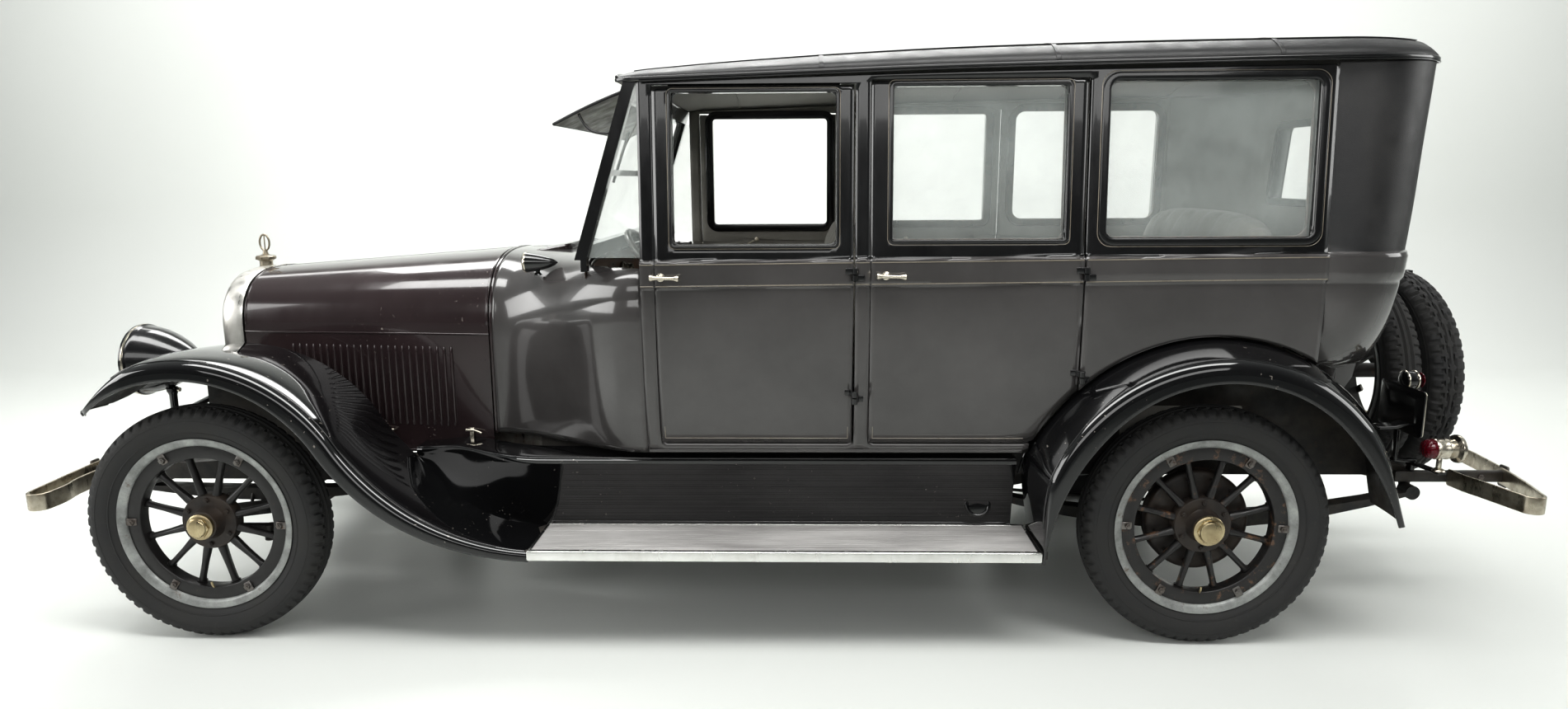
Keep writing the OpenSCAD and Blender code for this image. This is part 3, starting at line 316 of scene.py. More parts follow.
class Nodes:
    """A material under work: each call adds a node and gives back its output."""

    def __init__(self, name):
        self.material = bpy.data.materials.new(name)
        self.material.use_nodes = True
        self.tree = self.material.node_tree
        self.tree.nodes.clear()
        self.out = self.tree.nodes.new("ShaderNodeOutputMaterial")
        self.shader = self.tree.nodes.new("ShaderNodeBsdfPrincipled")
        self.tree.links.new(self.shader.outputs[0], self.out.inputs[0])
        self.place = self.tree.nodes.new("ShaderNodeTexCoord").outputs["Object"]

    def add(self, kind, **inputs):
        """A node of that kind. Names that are the node's own properties are set, the rest are sockets."""
        node = self.tree.nodes.new("ShaderNode" + kind)
        for key, value in inputs.items():
            if hasattr(node, key) and key not in ("color",):
                setattr(node, key, value)
                continue
            self.feed(node.inputs[key.replace("_", " ")], value)
        return node.outputs[0]

    def feed(self, socket, value):
        """Links an output to a socket, or sets the socket's value."""
        if isinstance(value, bpy.types.NodeSocket):
            self.tree.links.new(value, socket)
        elif isinstance(value, (tuple, list)) and len(value) == 3 and socket.type == "RGBA":
            socket.default_value = (*value, 1)
        else:
            socket.default_value = value

    def noise(self, scale, detail=4.0, rough=0.55, stretch=None):
        """Cloudy noise, as many lumps to a metre as its scale says."""
        place = self.place
        if stretch:
            place = self.add("Mapping", Vector=place, Scale=stretch)
        return self.add("TexNoise", Vector=place, Scale=scale, Detail=detail, Roughness=rough)

    def ramp(self, value, *stops):
        """Colours or greys against a value: stops are (place, colour)."""
        node = self.tree.nodes.new("ShaderNodeValToRGB")
        self.tree.links.new(value, node.inputs[0])
        ramp = node.color_ramp
        while len(ramp.elements) < len(stops):
            ramp.elements.new(0.5)
        for element, (place, colour) in zip(ramp.elements, stops):
            element.position = place
            element.color = (*(colour if isinstance(colour, (tuple, list)) else (colour,) * 3), 1)
        return node.outputs[0]

    def patchy(self, low, high, *noise):
        """A value that wanders between low and high with the noise."""
        return self.ramp(self.noise(*noise), (0.3, low), (0.7, high))

    def mix(self, factor, a, b):
        """Colour a where the factor is 0 and b where it is 1."""
        node = self.tree.nodes.new("ShaderNodeMix")
        node.data_type = "RGBA"
        self.feed(node.inputs[0], factor)
        self.feed(node.inputs[6], a)
        self.feed(node.inputs[7], b)
        return node.outputs[2]

    def maths(self, operation, a, b=0.0):
        """One sum on two values."""
        node = self.tree.nodes.new("ShaderNodeMath")
        node.operation = operation
        self.feed(node.inputs[0], a)
        self.feed(node.inputs[1], b)
        return node.outputs[0]

    def axis(self, letter):
        """The place along X, Y or Z, in metres."""
        node = self.tree.nodes.new("ShaderNodeSeparateXYZ")
        self.tree.links.new(self.place, node.inputs[0])
        return node.outputs[letter]

    def bump(self, height, strength, distance):
        """Relief on the surface; distance is how deep, in metres."""
        return self.add("Bump", Height=height, Strength=strength, Distance=distance)

    def done(self, **sockets):
        """Sets or links the shader's own sockets and gives back the material."""
        for key, value in sockets.items():
            self.feed(self.shader.inputs[key.replace("_", " ")], value)
        return self.material


def gloss_paint(name, colour, haze=0.18, chips=0.0, chip_colour=(0.22, 0.2, 0.18)):
    """Old polished enamel: cloudy colour, fine scratches in the polish, dust haze and a few stone chips."""
    n = Nodes(name)
    cloud = n.noise(2.3, 5, 0.6)
    dark = tuple(c * 0.78 for c in colour)
    light = tuple(min(1, c * 1.22 + 0.001) for c in colour)
    base = n.mix(n.ramp(cloud, (0.3, 0.0), (0.7, 1.0)), dark, light)
    if chips:
        speck = n.noise(85, 2, 0.5)
        patch = n.noise(3.1, 3, 0.5)
        mask = n.maths("MULTIPLY", n.ramp(speck, (0.72 - chips, 0.0), (0.735 - chips, 1.0)),
            n.ramp(patch, (0.5, 0.0), (0.62, 1.0)))
        base = n.mix(mask, base, chip_colour)
    smear = n.noise(9, 6, 0.65, (1, 1, 0.35))
    rough = n.ramp(smear, (0.25, haze * 0.55), (0.75, haze * 1.45))
    orange = n.noise(240, 2, 0.5)
    wave = n.noise(4.5, 2, 0.4)
    relief = n.maths("ADD", n.maths("MULTIPLY", orange, 0.05), n.maths("MULTIPLY", wave, 0.4))
    return n.done(
        Base_Color=base, Roughness=rough, Normal=n.bump(relief, 0.12,
            0.0016), Coat_Weight=0.6, Coat_Roughness=0.04, IOR=1.5
    )


def chassis_paint(name, colour=(0.012, 0.012, 0.012), dust=(0.11, 0.09, 0.07), amount=0.5):
    """Brushed black chassis enamel, dulled by road dust and grease, with rust at its thin places."""
    n = Nodes(name)
    cloud = n.noise(7, 8, 0.65)
    base = n.mix(n.ramp(cloud, (0.42, 0.0), (0.78, amount)), colour, dust)
    rust = n.ramp(n.noise(23, 6, 0.7), (0.62, 0.0), (0.72, 1.0))
    base = n.mix(n.maths("MULTIPLY", rust, 0.5), base, (0.12, 0.045, 0.02))
    rough = n.patchy(0.34, 0.72, 16, 5, 0.6)
    return n.done(Base_Color=base, Roughness=rough, Normal=n.bump(n.noise(130, 4, 0.6), 0.35, 0.0008))


def plated(name, colour, rough=0.28, stain=(0.16, 0.11, 0.06), amount=0.5, rust=0.0):
    """Old plating: bright metal, clouded by tarnish, with fine scratches and brown staining."""
    n = Nodes(name)
    cloud = n.ramp(n.noise(14, 8, 0.65), (0.4, 0.0), (0.75, amount))
    base = n.mix(cloud, colour, stain)
    if rust:
        base = n.mix(n.ramp(n.noise(36, 6, 0.75), (0.66 - rust * 0.2, 0.0), (0.72, 1.0)), base,
            (0.09, 0.035, 0.015))
    r = n.patchy(rough * 0.6, rough * 1.6, 28, 6, 0.6, (1, 1, 0.2))
    return n.done(Base_Color=base, Metallic=1.0, Roughness=r, Normal=n.bump(n.noise(90, 5, 0.6), 0.2, 0.0004))


def rim_metal(name):
    """Bare galvanised rim steel: silvery grey, with white oxide bloom and brown rust stains."""
    n = Nodes(name)
    bloom = n.ramp(n.noise(11, 7, 0.7), (0.35, (0.2, 0.205, 0.2)), (0.6, (0.36, 0.37, 0.36)),
        (0.75, (0.5, 0.5, 0.47)))
    rust = n.ramp(n.noise(17, 8, 0.75), (0.6, 0.0), (0.7, 1.0))
    base = n.mix(n.maths("MULTIPLY", rust, 0.8), bloom, (0.11, 0.055, 0.03))
    rough = n.patchy(0.38, 0.66, 21, 5, 0.6)
    return n.done(Base_Color=base, Metallic=0.55, Roughness=rough,
        Normal=n.bump(n.noise(150, 5, 0.6), 0.4, 0.0006))


def spoke_wood(name, worn):
    """Black-painted hickory: paint over long grain, worn through to brown wood where worn is high."""
    n = Nodes(name)
    grain = n.noise(60, 5, 0.6, (0.4, 3, 0.4))
    bare = n.mix(grain, (0.08, 0.04, 0.022), (0.2, 0.11, 0.06))
    lost = n.ramp(n.noise(19, 8, 0.75), (0.68 - worn, 0.0), (0.74 - worn * 0.7, 1.0))
    base = n.mix(lost, (0.012, 0.011, 0.011), bare)
    rough = n.patchy(0.28, 0.6, 25, 4, 0.6)
    return n.done(Base_Color=base, Roughness=rough, Normal=n.bump(n.maths("ADD", grain, lost), 0.35,
        0.0009), Coat_Weight=0.2, Coat_Roughness=0.25)


def tyre_rubber(name):
    """Old road rubber: dull dark grey, dusty in its grooves, with a faint turned grain."""
    n = Nodes(name)
    cloud = n.noise(8, 7, 0.65)
    base = n.mix(n.ramp(cloud, (0.3, 0.0), (0.75, 1.0)), (0.016, 0.016, 0.017), (0.034, 0.033, 0.031))
    dust = n.ramp(n.noise(55, 6, 0.7), (0.6, 0.0), (0.85, 0.35))
    base = n.mix(dust, base, (0.1, 0.092, 0.08))
    return n.done(Base_Color=base, Roughness=n.ramp(cloud, (0.3, 0.62), (0.7, 0.85)),
        Normal=n.bump(n.noise(320, 4, 0.6), 0.4, 0.0005))


def leatherette(name):
    """Coated top fabric: black, with a fine pebbled grain of small closed cells and a soft shine."""
    n = Nodes(name)
    cells = n.tree.nodes.new("ShaderNodeTexVoronoi")
    cells.feature = "DISTANCE_TO_EDGE"
    n.feed(cells.inputs["Vector"], n.place)
    n.feed(cells.inputs["Scale"], 330.0)
    height = n.ramp(cells.outputs[0], (0.0, 0.0), (0.25, 1.0))
    cloud = n.noise(5, 6, 0.6)
    base = n.mix(n.ramp(cloud, (0.35, 0.0), (0.7, 1.0)), (0.010, 0.010, 0.011), (0.022, 0.021, 0.021))
    rough = n.patchy(0.32, 0.5, 12, 5, 0.6)
    return n.done(Base_Color=base, Roughness=rough, Normal=n.bump(height, 0.3, 0.0006), IOR=1.5)


def woven(name, colour, thread=900.0, sheen=0.3, fade=0.25):
    """Woven wool cloth: two crossing sets of threads, uneven dye and a soft sheen."""
    n = Nodes(name)
    x, y, z = n.axis("X"), n.axis("Y"), n.axis("Z")
    across = n.maths("SINE", n.maths("MULTIPLY", n.maths("ADD", x, z), thread * 2))
    along = n.maths("SINE", n.maths("MULTIPLY", n.maths("SUBTRACT", n.maths("ADD", y, z),
        n.maths("MULTIPLY", x, 0.2)), thread * 2))
    weave = n.maths("MULTIPLY", across, along)
    cloud = n.noise(6, 7, 0.65)
    dark = tuple(c * (1 - fade) for c in colour)
    base = n.mix(n.ramp(cloud, (0.3, 0.0), (0.7, 1.0)), dark, colour)
    fleck = n.ramp(n.noise(420, 3, 0.6), (0.4, 0.0), (0.7, 0.35))
    base = n.mix(fleck, base, tuple(c * 0.6 for c in colour))
    return n.done(Base_Color=base, Roughness=0.93, Sheen_Weight=sheen, Sheen_Roughness=0.5,
        Normal=n.bump(weave, 0.25, 0.0005))


def clear_glass(name, tint=(0.82, 0.88, 0.86), cover=0.13):
    """Flat window glass: nearly clear, faintly green, with a light film of dust."""
    n = Nodes(name)
    film = n.ramp(n.noise(3.5, 6, 0.6), (0.35, cover * 0.75), (0.75, cover * 1.35))
    return n.done(Base_Color=tint, Roughness=0.04, Alpha=film, IOR=1.5, Specular_IOR_Level=0.9)


def lamp_glass(name, colour, cover=0.35):
    """Pressed lamp glass with upright flutes."""
    n = Nodes(name)
    flute = n.maths("SINE", n.maths("MULTIPLY", n.axis("Y"), 520.0))
    cloud = n.patchy(cover * 0.8, cover * 1.2, 30, 3, 0.5)
    return n.done(Base_Color=colour, Roughness=0.06, Alpha=cloud, IOR=1.5, Normal=n.bump(flute, 0.6, 0.0012))


def board_top(name):
    """Ribbed matting on the running boards: pale worn grey, with painted shade darkening the grooves between
    its ribs.
    """
    n = Nodes(name)
    rib = n.maths("SINE", n.maths("MULTIPLY", n.axis("Y"), 1150.0))
    wear = n.noise(5, 8, 0.7, (0.4, 2, 1))
    base = n.mix(n.ramp(wear, (0.3, 0.0), (0.7, 1.0)), (0.32, 0.31, 0.305), (0.6, 0.585, 0.575))
    # Painted shade: the grooves between the ribs are darkened towards near black.
    base = n.mix(n.ramp(rib, (0.0, 0.4), (0.45, 0.0)), base, (0.08, 0.075, 0.07))
    return n.done(Base_Color=base, Roughness=n.ramp(wear, (0.3, 0.34), (0.7, 0.6)),
        Normal=n.bump(rib, 0.5, 0.0012), Metallic=0.15)


def comb_core(name):
    """A radiator's comb of small open cells with dull brass edges, their insides painted near black as
    painted shade.
    """
    n = Nodes(name)
    cells = n.tree.nodes.new("ShaderNodeTexVoronoi")
    cells.feature = "DISTANCE_TO_EDGE"
    place = n.add("Mapping", Vector=n.place, Scale=(0.02, 1, 1))
    n.feed(cells.inputs["Vector"], place)
    n.feed(cells.inputs["Scale"], 120.0)
    n.feed(cells.inputs["Randomness"], 0.05)
    wall_share = n.ramp(cells.outputs[0], (0.03, 1.0), (0.09, 0.0))
    # Painted shade: the open cells are near black, only their walls are dull brass.
    base = n.mix(wall_share, (0.006, 0.006, 0.006), (0.16, 0.12, 0.06))
    return n.done(Base_Color=base, Metallic=0.3, Roughness=0.5, Normal=n.bump(wall_share, 0.8, 0.004))


def polished_wood(name, light=(0.12, 0.055, 0.025), dark=(0.045, 0.02, 0.01), stretch=(1, 0.15, 1)):
    """Varnished walnut with long wavy grain."""
    n = Nodes(name)
    grain = n.noise(38, 6, 0.6, stretch)
    base = n.mix(n.ramp(grain, (0.35, 0.0), (0.6, 1.0)), dark, light)
    return n.done(Base_Color=base, Roughness=n.ramp(grain, (0.3, 0.25), (0.7, 0.42)), Coat_Weight=0.5,
        Coat_Roughness=0.1,
                  Normal=n.bump(grain, 0.15, 0.0006))


def floor_carpet(name, colour=(0.06, 0.055, 0.05)):
    """Short grey-brown carpet pile."""
    n = Nodes(name)
    pile = n.noise(500, 4, 0.7)
    base = n.mix(n.noise(11, 6, 0.6), tuple(c * 0.6 for c in colour), tuple(c * 1.5 for c in colour))
    return n.done(Base_Color=base, Roughness=0.95, Normal=n.bump(pile, 0.6, 0.003), Sheen_Weight=0.25)


M = {}


def make_materials(look):
    """Every finish of the car, from the colours of the settings."""
    paint, black = tuple(look.body_colour), tuple(look.black_colour)
    M.update(
        paint=gloss_paint("body_paint", paint, haze=0.16, chips=0.0),
        hood_paint=gloss_paint("hood_paint", tuple(look.hood_colour), haze=0.16, chips=0.015),
        black=gloss_paint("black_enamel", black, haze=0.2, chips=0.0),
        fender=gloss_paint("fender_enamel", black, haze=0.06, chips=0.012),
        chassis=chassis_paint("chassis_black"),
        under=chassis_paint("fender_underside", (0.014, 0.013, 0.012), (0.09, 0.075, 0.06), 0.7),
        nickel=plated("worn_nickel", (0.62, 0.58, 0.5), 0.22, amount=0.35),
        bright=plated("bright_edging", (0.78, 0.78, 0.76), 0.2, (0.4, 0.38, 0.34), 0.3),
        shell=plated("radiator_nickel", (0.66, 0.65, 0.62), 0.34, (0.3, 0.27, 0.22), 0.35),
        bumper=plated("tarnished_bumper", (0.5, 0.46, 0.38), 0.3, (0.12, 0.085, 0.05), 0.85, 0.25),
        brass=plated("brass_cap", (0.52, 0.44, 0.28), 0.3, (0.16, 0.11, 0.06), 0.6),
        steel=plated("dull_steel", (0.22, 0.21, 0.2), 0.42, (0.08, 0.05, 0.035), 0.8, 0.3),
        rim=rim_metal("rim_metal"),
        spoke_front=spoke_wood("spoke_front", 0.04),
        spoke_rear=spoke_wood("spoke_rear", 0.13),
        rubber=tyre_rubber("tyre_rubber"),
        grain=leatherette("top_leatherette"),
        cloth=woven("seat_cloth", (0.3, 0.285, 0.25), 1000.0),
        trim=woven("trim_cloth", (0.34, 0.33, 0.3), 1300.0),
        headlining=woven("headlining", (0.4, 0.39, 0.36), 1500.0, 0.2, 0.12),
        carpet=floor_carpet("floor_carpet"),
        wood=polished_wood("dash_wood"),
        garnish=polished_wood("garnish_wood", (0.06, 0.035, 0.022), (0.02, 0.012, 0.008)),
        glass=clear_glass("window_glass"),
        lens=lamp_glass("lamp_glass", (0.85, 0.88, 0.86)),
        red=lamp_glass("red_glass", (0.1, 0.003, 0.01), 0.92),
        board=board_top("board_matting"),
        comb=comb_core("radiator_comb"),
        stripe=gloss_paint("stripe_cream", tuple(look.stripe_colour), haze=0.3),
        ivory=gloss_paint("ivory", (0.55, 0.5, 0.4), haze=0.3),
        rubber_trim=tyre_rubber("pedal_rubber"),
        visor_lining=chassis_paint("visor_lining", (0.09, 0.085, 0.07), (0.42, 0.42, 0.36), 1.0),
        hub=chassis_paint("hub_enamel", (0.02, 0.016, 0.014), (0.1, 0.07, 0.05), 0.5),
        silver=plated("reflector_silver", (0.9, 0.9, 0.88), 0.1, (0.5, 0.48, 0.4), 0.2),
        tarnished=plated("tarnished_ornament", (0.34, 0.31, 0.25), 0.34, (0.12, 0.09, 0.06), 0.7),
        wheelwood=polished_wood("steering_wood", (0.03, 0.018, 0.012), (0.012, 0.008, 0.006)),
    )

# ---------------------------------------------------------------- the body's form

SILL_Z, DOOR_Z, WALL, DOOR_GAP = 648.0, 690.0, 45.0, 6.0
POST_X, DOOR_X, FRONT_HINGE_X = 185.0, 137.0, -533.0
REAR_DOOR_X, REAR_HINGE_X, REAR_X = -583.0, -1293.0, -2080.0
FRONT_DOOR_TOP, REAR_DOOR_TOP = 1898.0, 1916.0
FRONT_WINDOW = (75.0, -470.0, 1380.0, 1878.0)
REAR_WINDOW = (-657.0, -1222.0, 1396.0, 1894.0)
QUARTER_WINDOW = (-1357.0, -2030.0, 1400.0, 1906.0)
BACK_WINDOW = (320.0, 1500.0, 1800.0)
ARCH_X, ARCH_Z, ARCH_R, DOOR_ARCH_R = -AXLE_X - 23, HUB_Z + 6, 646.6, 655.0
HINGE_Y, CORNER_R, ROOF_EDGE_Y, ROOF_FRONT_X, ROOF_END_X = 778.0, 210.0, 748.0, 252.0, -2485.0
COWL_X, RADIATOR_X = AXLE_X - 912, AXLE_X + 100
STRIPE_W = 3.2


def belt_rise(x):
    """How much higher the belt stands at x than at the windscreen: a line that climbs towards the back."""
    return (398 - np.asarray(x, float)) * 0.0088


def side_y(x, z):
    """Half the body's width: a smooth curve up to the belt, a raised band with rounded edges, and a nearly
    straight lean inwards above it."""
    z = np.asarray(z, float)
    low = curve([648, 720, 810, 910, 1030, 1140, 1234, 1330], [690, 712, 731, 746, 756, 761, 763, 762], z)
    high = curve([1300, 1400, 1500, 1700, 1905, 1990], [755, 750, 745, 737, 729, 727], z)
    rise = belt_rise(x)
    up = smooth((z - 1233 - rise) / 7)
    down = smooth((z - 1321 - rise) / 7)
    return low * (1 - up) + 770 * (up - down) + high * down


def drip_z(x):
    """The height of the roof's lower edge along the body."""
    return curve([-2500, -2096, -955, -164, 300], [1970, 1967, 1950, 1926, 1911], x)


def arch_low(x, r):
    """The body's lower edge: the sill, or the rear wheel arch where that is higher."""
    dx = np.asarray(x, float) - ARCH_X
    return np.maximum(SILL_Z, ARCH_Z + np.sqrt(np.maximum(r * r - dx * dx, 0)))


def lines(*stops, step=22.0):
    """Grid lines at each of the stops, with others between them no more than a step apart."""
    stops = sorted(set(stops))
    out = [linspace(a, b, max(1, math.ceil((b - a) / step)) + 1)[:-1] for a, b in zip(stops, stops[1:])]
    return concatenate(out + [[stops[-1]]])


def panel(x, z, low):
    """Points of a body side: heights under 1200 are pressed up evenly to stay above the lower edge."""
    gx, gz = net(x, z)
    foot = low(gx)
    start = z.min()
    floor_line = np.maximum(foot, start)
    gz = np.where(gz < 1200, floor_line + (gz - start) * (1200 - floor_line) / (1200 - start), gz)
    return points(gx, side_y(gx, gz), gz)


def cells(values):
    """The middles of the gaps between grid lines."""
    return (values[1:] + values[:-1]) / 2


def inside(x, z, x0, x1, z0, z1):
    """Which grid faces lie in a rectangle."""
    cx, cz = net(cells(x), cells(z))
    return (cx > min(x0, x1)) & (cx < max(x0, x1)) & (cz > z0) & (cz < z1)


def paint_split(x, z, paint=0, black=1):
    """Material numbers: body colour under the belt, black above it."""
    cx, cz = net(cells(x), cells(z))
    return np.where(cz > 1326 + belt_rise(cx), black, paint)


BELT_STOPS = (1200.0, 1228.0, 1234.0, 1238.0, 1242.0, 1246.0, 1252.0, 1262.0, 1316.0, 1322.0, 1326.0,
    1330.0, 1334.0, 1340.0, 1346.0, 1352.0)


def body_materials():
    """Outside and inside finishes of the body's walls, in the order that the panels use."""
    return "paint black trim trim garnish"


def stripe(shape, x0, x1, height, mat=0, n=40, out=0.55, width=STRIPE_W):
    """A painted line along the body between two places: a thin raised band at the height given for each x."""
    x = linspace(x0, x1, n)
    z = height(x)
    shape.bar(points(x, side_y(x, z) + out, z), 1.0, width, 0.4, mat, n=1)


def upright_stripe(shape, x, z0, z1, mat=0, out=0.55, width=2.4):
    """A painted line up the body at one x."""
    z = linspace(z0, z1, 14)
    shape.bar(points(x + 0 * z, side_y(x, z) + out, z), 1.0, width, 0.4, mat, up=(1, 0, 0), n=1)


def window_frame(shape, window, mat, stripe_mat, wide, deep=6.0, corner=13.0):
    """The raised moulding round a window: a rounded band carried round a rectangle with round corners, and a
    painted line round its outer edge."""
    x1, x0, z0, z1 = window
    for grow, w, t, m, r in ((wide / 2, wide, deep, mat, corner),
            (wide + 3, STRIPE_W - 0.8, 1.2, stripe_mat, corner + 6)):
        loop = round_rect(x1 - x0 + 2 * grow, z1 - z0 + 2 * grow, r, 6)
        x, z = loop[:, 0] + (x0 + x1) / 2, loop[:, 1] + (z0 + z1) / 2
        path = points(x, side_y(x, clip(z, 1362, 1990)) + (0 if m == stripe_mat else -0.4), z)
        shape.band(path, Y_AXIS, round_rect(w, 2 * t, min(t, w / 2) * 0.8, 3), m)


def garnish_frame(shape, window, wide, corner, n, mat):
    """The moulding round a window on the inner face of the body's wall."""
    x1, x0, z0, z1 = window
    ring = round_rect(x1 - x0 + wide, z1 - z0 + wide, corner, n) + [(x0 + x1) / 2, (z0 + z1) / 2]
    y = side_y((x0 + x1) / 2, clip(ring[:, 1], 1362, 1990)) - WALL - 4
    shape.band(points(ring[:, 0], y, ring[:, 1]), Y_AXIS, round_rect(36, 14, 5, 3), mat)


def belt_stripes(shape, x0, x1, mat):
    """The two cream lines at the belt band's edges."""
    stripe(shape, x0, x1, lambda x: 1242 + belt_rise(x), mat)
    stripe(shape, x0, x1, lambda x: 1314 + belt_rise(x), mat)


def knuckles(shape, x, heights, moving, mat):
    """Hinge knuckles: a turned barrel on a short strap, above or below the split."""
    for z in heights:
        z0 = z + 1 if moving else z - 22
        shape.turned([[0, 0], [0, 8], [1.5, 10], [20.5, 10], [22, 8], [22, 0]], (x, HINGE_Y, z0), Z_AXIS,
            20, mat)
        reach = 15 if moving else -15
        y = side_y(x + reach, z)
        shape.bar([(x + reach * 0.4, HINGE_Y - 3, z0 + 11), (x + reach, y + 3, z0 + 11),
            (x + reach * 2, y + 1, z0 + 11)], 5, 20, 1.5, mat)


def dog_bone(shape, x, z, mat):
    """A door handle: a waisted turned grip on one round post, with a small base plate."""
    y = side_y(x, z)
    shape.turned([[-2, 0], [-2, 15], [3, 14], [6, 9], [30, 7.5], [34, 0]], (x, y, z), Y_AXIS, 24, mat)
    t = linspace(-1, 1, 25)
    r = 6.2 + 5.2 * smooth((abs(t) - 0.45) / 0.45)
    r = r * np.sqrt(clip(1 - ((abs(t) - 0.86) / 0.141).clip(0) ** 2, 0.02, 1))
    shape.turned(points(t * 52, r), (x - 16, y + 30, z), unit([1, 0, 0.03]), 20, mat)


def colour(name, description, default):
    """A setting that holds a colour."""
    return FloatVectorProperty(name=name, description=description, subtype="COLOR", size=3, default=default)


class BodySettings(bpy.types.PropertyGroup):
    """Colours and sizes of the bodywork's finish."""

    body_colour: colour("Body colour", "Enamel below the belt", (0.055, 0.0515, 0.051))
    hood_colour: colour("Hood colour", "Enamel on the hood and scuttle", (0.024, 0.0155, 0.0165))
    black_colour: colour("Black", "Enamel on fenders and window frames", (0.0045, 0.0045, 0.005))
    stripe_colour: colour("Stripe colour", "Painted lines", (0.20, 0.175, 0.14))
    louvres: IntProperty(name="Louvres", description="Louvres in each side of the hood", default=24, min=8,
        max=40)


class SEDAN_OT_finishes(bpy.types.Operator):
    """Make every paint, metal, cloth, wood and glass of the car"""

    bl_idname = "sedan.finishes"
    bl_label = "Finishes"

    def execute(self, context):
        make_materials(context.scene.sedan_body)
        return {"FINISHED"}


class SEDAN_OT_body_sides(bpy.types.Operator):
    """The fixed sides of the body: pillars, sill, headers and rear quarters with their windows"""

    bl_idname = "sedan.body_sides"
    bl_label = "Body sides"

    def execute(self, context):
        shape = Shape()
        x = lines(REAR_X, QUARTER_WINDOW[1], QUARTER_WINDOW[0], REAR_HINGE_X - 1, REAR_DOOR_X,
            FRONT_HINGE_X - 1, DOOR_X + 1, POST_X)
        z = lines(SILL_Z, 684, *BELT_STOPS, QUARTER_WINDOW[2], FRONT_DOOR_TOP + 6, QUARTER_WINDOW[3],
            REAR_DOOR_TOP + 6, 1990, step=40)
        p = panel(x, z, lambda gx: arch_low(gx, ARCH_R))
        top = drip_z(p[..., 0])
        high = z > FRONT_DOOR_TOP + 5
        level = FRONT_DOOR_TOP + 6
        p[:, high, 2] = level + (z[high] - level) * (top[:, high] - level) / (1990 - level)
        p[..., 1] = side_y(p[..., 0], p[..., 2])
        drop = (
            inside(x, z, FRONT_HINGE_X - 1, DOOR_X + 1, 684, level)
            | inside(x, z, REAR_HINGE_X - 1, REAR_DOOR_X, 684, REAR_DOOR_TOP + 6)
            | inside(x, z, *QUARTER_WINDOW)
            | inside(x, z, -1143, REAR_HINGE_X - 1, 0, 690)
        )
        shape.grid(p, paint_split(x, z), keep=~drop, flip=True)
        shape.mirrored()
        walls = shape.make("body_side_panels", "chassis", "body_paint", body_materials(), "body_shell",
            recalc=False)
        walled(walls, WALL, inner=2, rim=0)

        trim = Shape()
        knuckles(trim, FRONT_HINGE_X, (865, 1283), False, 1)
        knuckles(trim, REAR_HINGE_X, (935, 1283), False, 1)
        window_frame(trim, QUARTER_WINDOW, 1, 2, 26, corner=40)
        for x0, x1 in ((POST_X - 1, DOOR_X + 3), (FRONT_HINGE_X - 3, REAR_DOOR_X + 3),
                (REAR_HINGE_X - 3, -2130)):
            belt_stripes(trim, x0, max(x1, REAR_X + 2), 2)
        x = linspace(POST_X - 4, -1120, 120)
        trim.bar(points(x, side_y(x, 656) + 1.5, 656 + 0 * x), 5, 10, 2, 0)
        trim.mirrored()
        trim.make("body_side_trim", "chassis", "black_paint", "paint black stripe")
        return {"FINISHED"}


